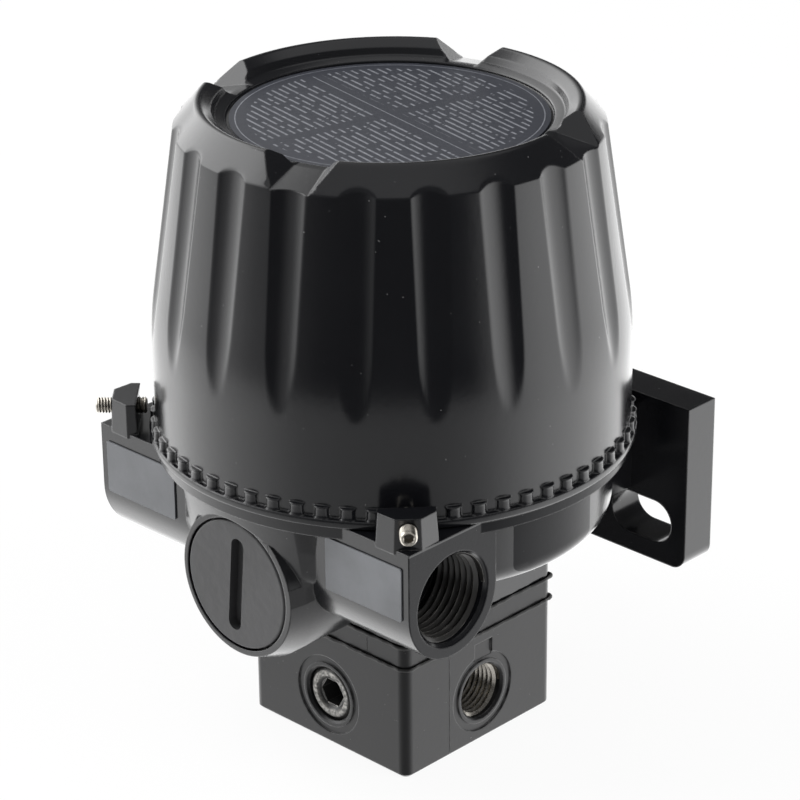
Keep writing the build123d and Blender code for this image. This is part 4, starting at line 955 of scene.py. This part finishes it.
def cast_place(x, y, z, lug_centre):
    """Where a point of the solid housing lies on the casting."""
    if on_lug_top(x, y, z):
        cx = math.copysign(lug_centre[0], x)
        cy = lug_centre[1]
        return cx + (x - cx) * CAST_LUG_TAPER, cy + (y - cy) * CAST_LUG_TAPER, z - CAST_LUG_DROP
    if y > -CAST_FRONT or z < CAST_LOW:
        return x, y, z
    out = math.hypot(x, z - PLUG_HEIGHT)
    if abs(y + BOSS_FACE) < ON_SURFACE and CAST_FACE_RADIUS < out < BOSS_RADIUS + 0.6:
        share = CAST_FACE_RADIUS / out
        return x * share, -CAST_FACE, PLUG_HEIGHT + (z - PLUG_HEIGHT) * share
    if abs(out - BOSS_RADIUS) < ON_SURFACE and z > CAST_ROOT_FROM:
        rise = min(1.0, (z - CAST_ROOT_FROM) / (PLUG_HEIGHT - CAST_ROOT_FROM))
        share = (BOSS_RADIUS + (CAST_SHIELD_HALF - BOSS_RADIUS) * rise) / out
        return on_shield(x * share, PLUG_HEIGHT + (z - PLUG_HEIGHT) * share)
    if on_conduit_boss(y, z) or z < PLUG_HEIGHT:
        return x, y, z
    on_front = abs(math.hypot(x, y) - shield_radius(z)) < 2 * ON_SURFACE
    if on_front and CAST_SHIELD_HALF < abs(x) < SHIELD_HALF:
        width = CAST_SHIELD_HALF - 0.05 * (SHIELD_HALF - abs(x))
        return on_shield(math.copysign(width, x), z)
    return x, y, z


def cast_normals(mesh):
    """Corner normals of the casting: the plug boss's taper and the shield's soft flanks."""
    normals = [Vector(n.vector) for n in mesh.corner_normals]
    tilt = math.atan2(BOSS_RADIUS - CAST_FACE_RADIUS, BOSS_FACE - BOSS_ROOT)
    for polygon in mesh.polygons:
        centre = polygon.center / MM
        corners = [
            (corner, mesh.vertices[mesh.loops[corner].vertex_index].co / MM)
            for corner in polygon.loop_indices
        ]
        flank = abs(polygon.normal.x) > 0.8 and FLANK_FROM < abs(centre.x) < SHIELD_HALF + 0.5
        if flank and centre.y < -FLANK_FRONT and centre.z > PLUG_HEIGHT:
            for corner, place in corners:
                foot = on_conduit_boss(place.y, place.z)
                turn = FLANK_FOOT_TURN if foot else FLANK_RIDGE_TURN
                sideways = math.copysign(math.sin(turn), place.x)
                normals[corner] = Vector((sideways, -math.cos(turn), 0))
            continue
        spoke = Vector((centre.x, 0, centre.z - PLUG_HEIGHT))
        if centre.y > -TAPER_FRONT or abs(spoke.length - BOSS_RADIUS) > 0.5:
            continue
        if abs(polygon.normal.dot(spoke.normalized())) < 0.8:
            continue
        for corner, place in corners:
            spoke = Vector((place.x, 0, place.z - PLUG_HEIGHT)).normalized()
            normals[corner] = spoke * math.cos(tilt) - Vector((0, math.sin(tilt), 0))
    return normals


def make_housing():
    """The casting: the solid with a tapered plug boss, straight shield edges and lower lugs."""
    mesh = nodes["housing"].data.copy()
    mesh.name = "housing_cast"
    mesh.materials.clear()
    places = [vertex.co / MM for vertex in mesh.vertices]
    tops = [p for p in places if p.x > 0 and on_lug_top(*p)]
    lug_centre = (sum(p.x for p in tops) / len(tops), sum(p.y for p in tops) / len(tops))
    normals = cast_normals(mesh)
    for vertex, place in zip(mesh.vertices, places):
        vertex.co = Vector(cast_place(*place, lug_centre)) * MM
    mesh.update()
    mesh.normals_split_custom_set(normals)
    add_piece("housing_cast", mesh, "housing", "housing_paint", "housing")


def dress_nodes():
    """The materials of the solids that no piece replaces."""
    slot_of = {s["node"]: s["material_slot"] for s in frame["record"]["subparts"]}
    for name, node in nodes.items():
        node.data.materials.clear()
        node.data.materials.append(PLUG_IRON if name == "hex_plug" else MATERIALS[slot_of[name]])


def make_camera():
    """The camera at the photograph's place."""
    data = bpy.data.cameras.new("camera")
    data.lens = CAMERA_LENS
    data.sensor_width = SENSOR_WIDTH
    data.clip_start, data.clip_end = CAMERA_CLIP
    camera = bpy.data.objects.new("camera", data)
    level = math.cos(CAMERA_RISE)
    back = Vector(
        (math.sin(CAMERA_TURN) * level, -math.cos(CAMERA_TURN) * level, math.sin(CAMERA_RISE))
    )
    camera.rotation_mode = "QUATERNION"
    roll = Matrix.Rotation(CAMERA_ROLL, 3, "Z").to_quaternion()
    camera.rotation_quaternion = (-back).to_track_quat("-Z", "Y") @ roll
    camera.location = CAMERA_AIM + back * CAMERA_DISTANCE
    bpy.context.scene.collection.objects.link(camera)
    bpy.context.scene.camera = camera


def level_ramp(tree, share, stops, top):
    """A brightness by bearing, from stops in degrees and levels up to top."""
    shades = [((degrees + 180.0) / 360.0, level / top) for degrees, level in stops]
    return product(tree, ramp(tree, share, shades), top)


def either(tree, share, first, second):
    """The first where the share is one, the second where it is zero."""
    rest = math_node(tree, "SUBTRACT", 1.0, share)
    return math_node(tree, "ADD", product(tree, share, first), product(tree, rest, second))


def studio_gloss(tree):
    """What gloss reflects: walls over a table below, a soft box to the left and a grey top."""
    coords = tree.nodes.new("ShaderNodeTexCoord")
    split = tree.nodes.new("ShaderNodeSeparateXYZ")
    turn = tree.nodes.new("ShaderNodeVectorRotate")
    turn.rotation_type = "Z_AXIS"
    turn.inputs["Angle"].default_value = math.pi / 2 - CAMERA_TURN
    tree.links.new(coords.outputs["Generated"], turn.inputs["Vector"])
    tree.links.new(turn.outputs[0], split.inputs[0])
    bearing = math_node(tree, "ARCTAN2", split.outputs[1], split.outputs[0])
    share = math_node(tree, "MULTIPLY_ADD", bearing, 1 / (2 * math.pi), 0.5)
    height = split.outputs[2]
    walls = level_ramp(tree, share, WALL_STOPS, WALL_TOP)
    table = level_ramp(tree, share, TABLE_STOPS, TABLE_TOP)
    box = level_ramp(tree, share, BOX_STOPS, BOX_TOP)
    on_table = ramp(tree, math_node(tree, "ADD", height, 1.0), [(0.71, 1.0), (0.735, 0.0)])
    low = either(tree, on_table, table, walls)
    is_low = ramp(tree, height, [(0.05, 1.0), (0.15, 0.0)])
    on_box = ramp(tree, height, [(0.04, 0.0), (0.12, 1.0), (0.72, 1.0), (0.8, 0.0)])
    top = product(tree, ramp(tree, height, [(0.74, 0.0), (0.84, 1.0)]), TOP_LEVEL)
    high = math_node(tree, "ADD", product(tree, on_box, box), top)
    return math_node(tree, "ADD", product(tree, is_low, low), high)


def make_world():
    """White to the camera, an even fill for matt surfaces and a studio for gloss."""
    world = bpy.data.worlds.new("studio")
    bpy.context.scene.world = world
    world.use_nodes = True
    tree = world.node_tree
    tree.nodes.clear()
    path = tree.nodes.new("ShaderNodeLightPath")
    seen = either(tree, path.outputs["Is Glossy Ray"], studio_gloss(tree), WORLD_FILL)
    light = product(tree, seen, WORLD_LEVEL)
    strength = math_node(tree, "MAXIMUM", light, path.outputs["Is Camera Ray"])
    background = tree.nodes.new("ShaderNodeBackground")
    background.inputs["Color"].default_value = (1.0, 1.0, 1.0, 1.0)
    tree.links.new(strength, background.inputs["Strength"])
    output = tree.nodes.new("ShaderNodeOutputWorld")
    tree.links.new(background.outputs[0], output.inputs[0])


def make_floor():
    """A pale floor that keeps a soft shadow."""
    half = FLOOR_SIZE / 2
    corners = [(-half, -half, 0), (half, -half, 0), (half, half, 0), (-half, half, 0)]
    mesh = bpy.data.meshes.new("floor")
    mesh.from_pydata(corners, [], [(0, 1, 2, 3)])
    floor = bpy.data.objects.new("floor", mesh)
    bpy.context.scene.collection.objects.link(floor)
    material, tree, shader = new_material("pale_floor")
    shader.inputs["Base Color"].default_value = (FLOOR_GREY, FLOOR_GREY, FLOOR_GREY, 1.0)
    shader.inputs["Roughness"].default_value = 0.9
    glow = tree.nodes.new("ShaderNodeEmission")
    glow.inputs["Color"].default_value = (1.0, 1.0, 1.0, 1.0)
    glow.inputs["Strength"].default_value = FLOOR_GLOW
    mixed = tree.nodes.new("ShaderNodeMixShader")
    path = tree.nodes.new("ShaderNodeLightPath")
    tree.links.new(product(tree, path.outputs["Is Camera Ray"], FLOOR_SHARE), mixed.inputs[0])
    tree.links.new(shader.outputs[0], mixed.inputs[1])
    tree.links.new(glow.outputs[0], mixed.inputs[2])
    output = next(n for n in tree.nodes if n.type == "OUTPUT_MATERIAL")
    tree.links.new(mixed.outputs[0], output.inputs[0])
    mesh.materials.append(material)
    floor.visible_glossy = False


def area_light(name, place, size, power):
    """A square soft lamp aimed at the part, out of the gloss."""
    data = bpy.data.lights.new(name, "AREA")
    data.size = size
    data.energy = power
    light = bpy.data.objects.new(name, data)
    light.location = place
    light.rotation_mode = "QUATERNION"
    light.rotation_quaternion = (Vector(LAMP_AIM) - Vector(place)).to_track_quat("-Z", "Y")
    light.visible_glossy = False
    bpy.context.scene.collection.objects.link(light)


dress_nodes()
matt_ends(MATERIALS["housing_paint"])
make_cover()
make_housing()
make_threads()
make_set_screw("set_screw_right", 1)
make_set_screw("set_screw_left", -1)
make_gaskets()
make_parting_lines()
make_camera()
make_world()
make_floor()
area_light("key_lamp", (-0.7, -0.5, 1.3), 0.9, 11.0)
area_light("side_lamp", (1.1, 0.3, 0.9), 0.8, 6.0)
bpy.context.scene.view_settings.view_transform = "Standard"
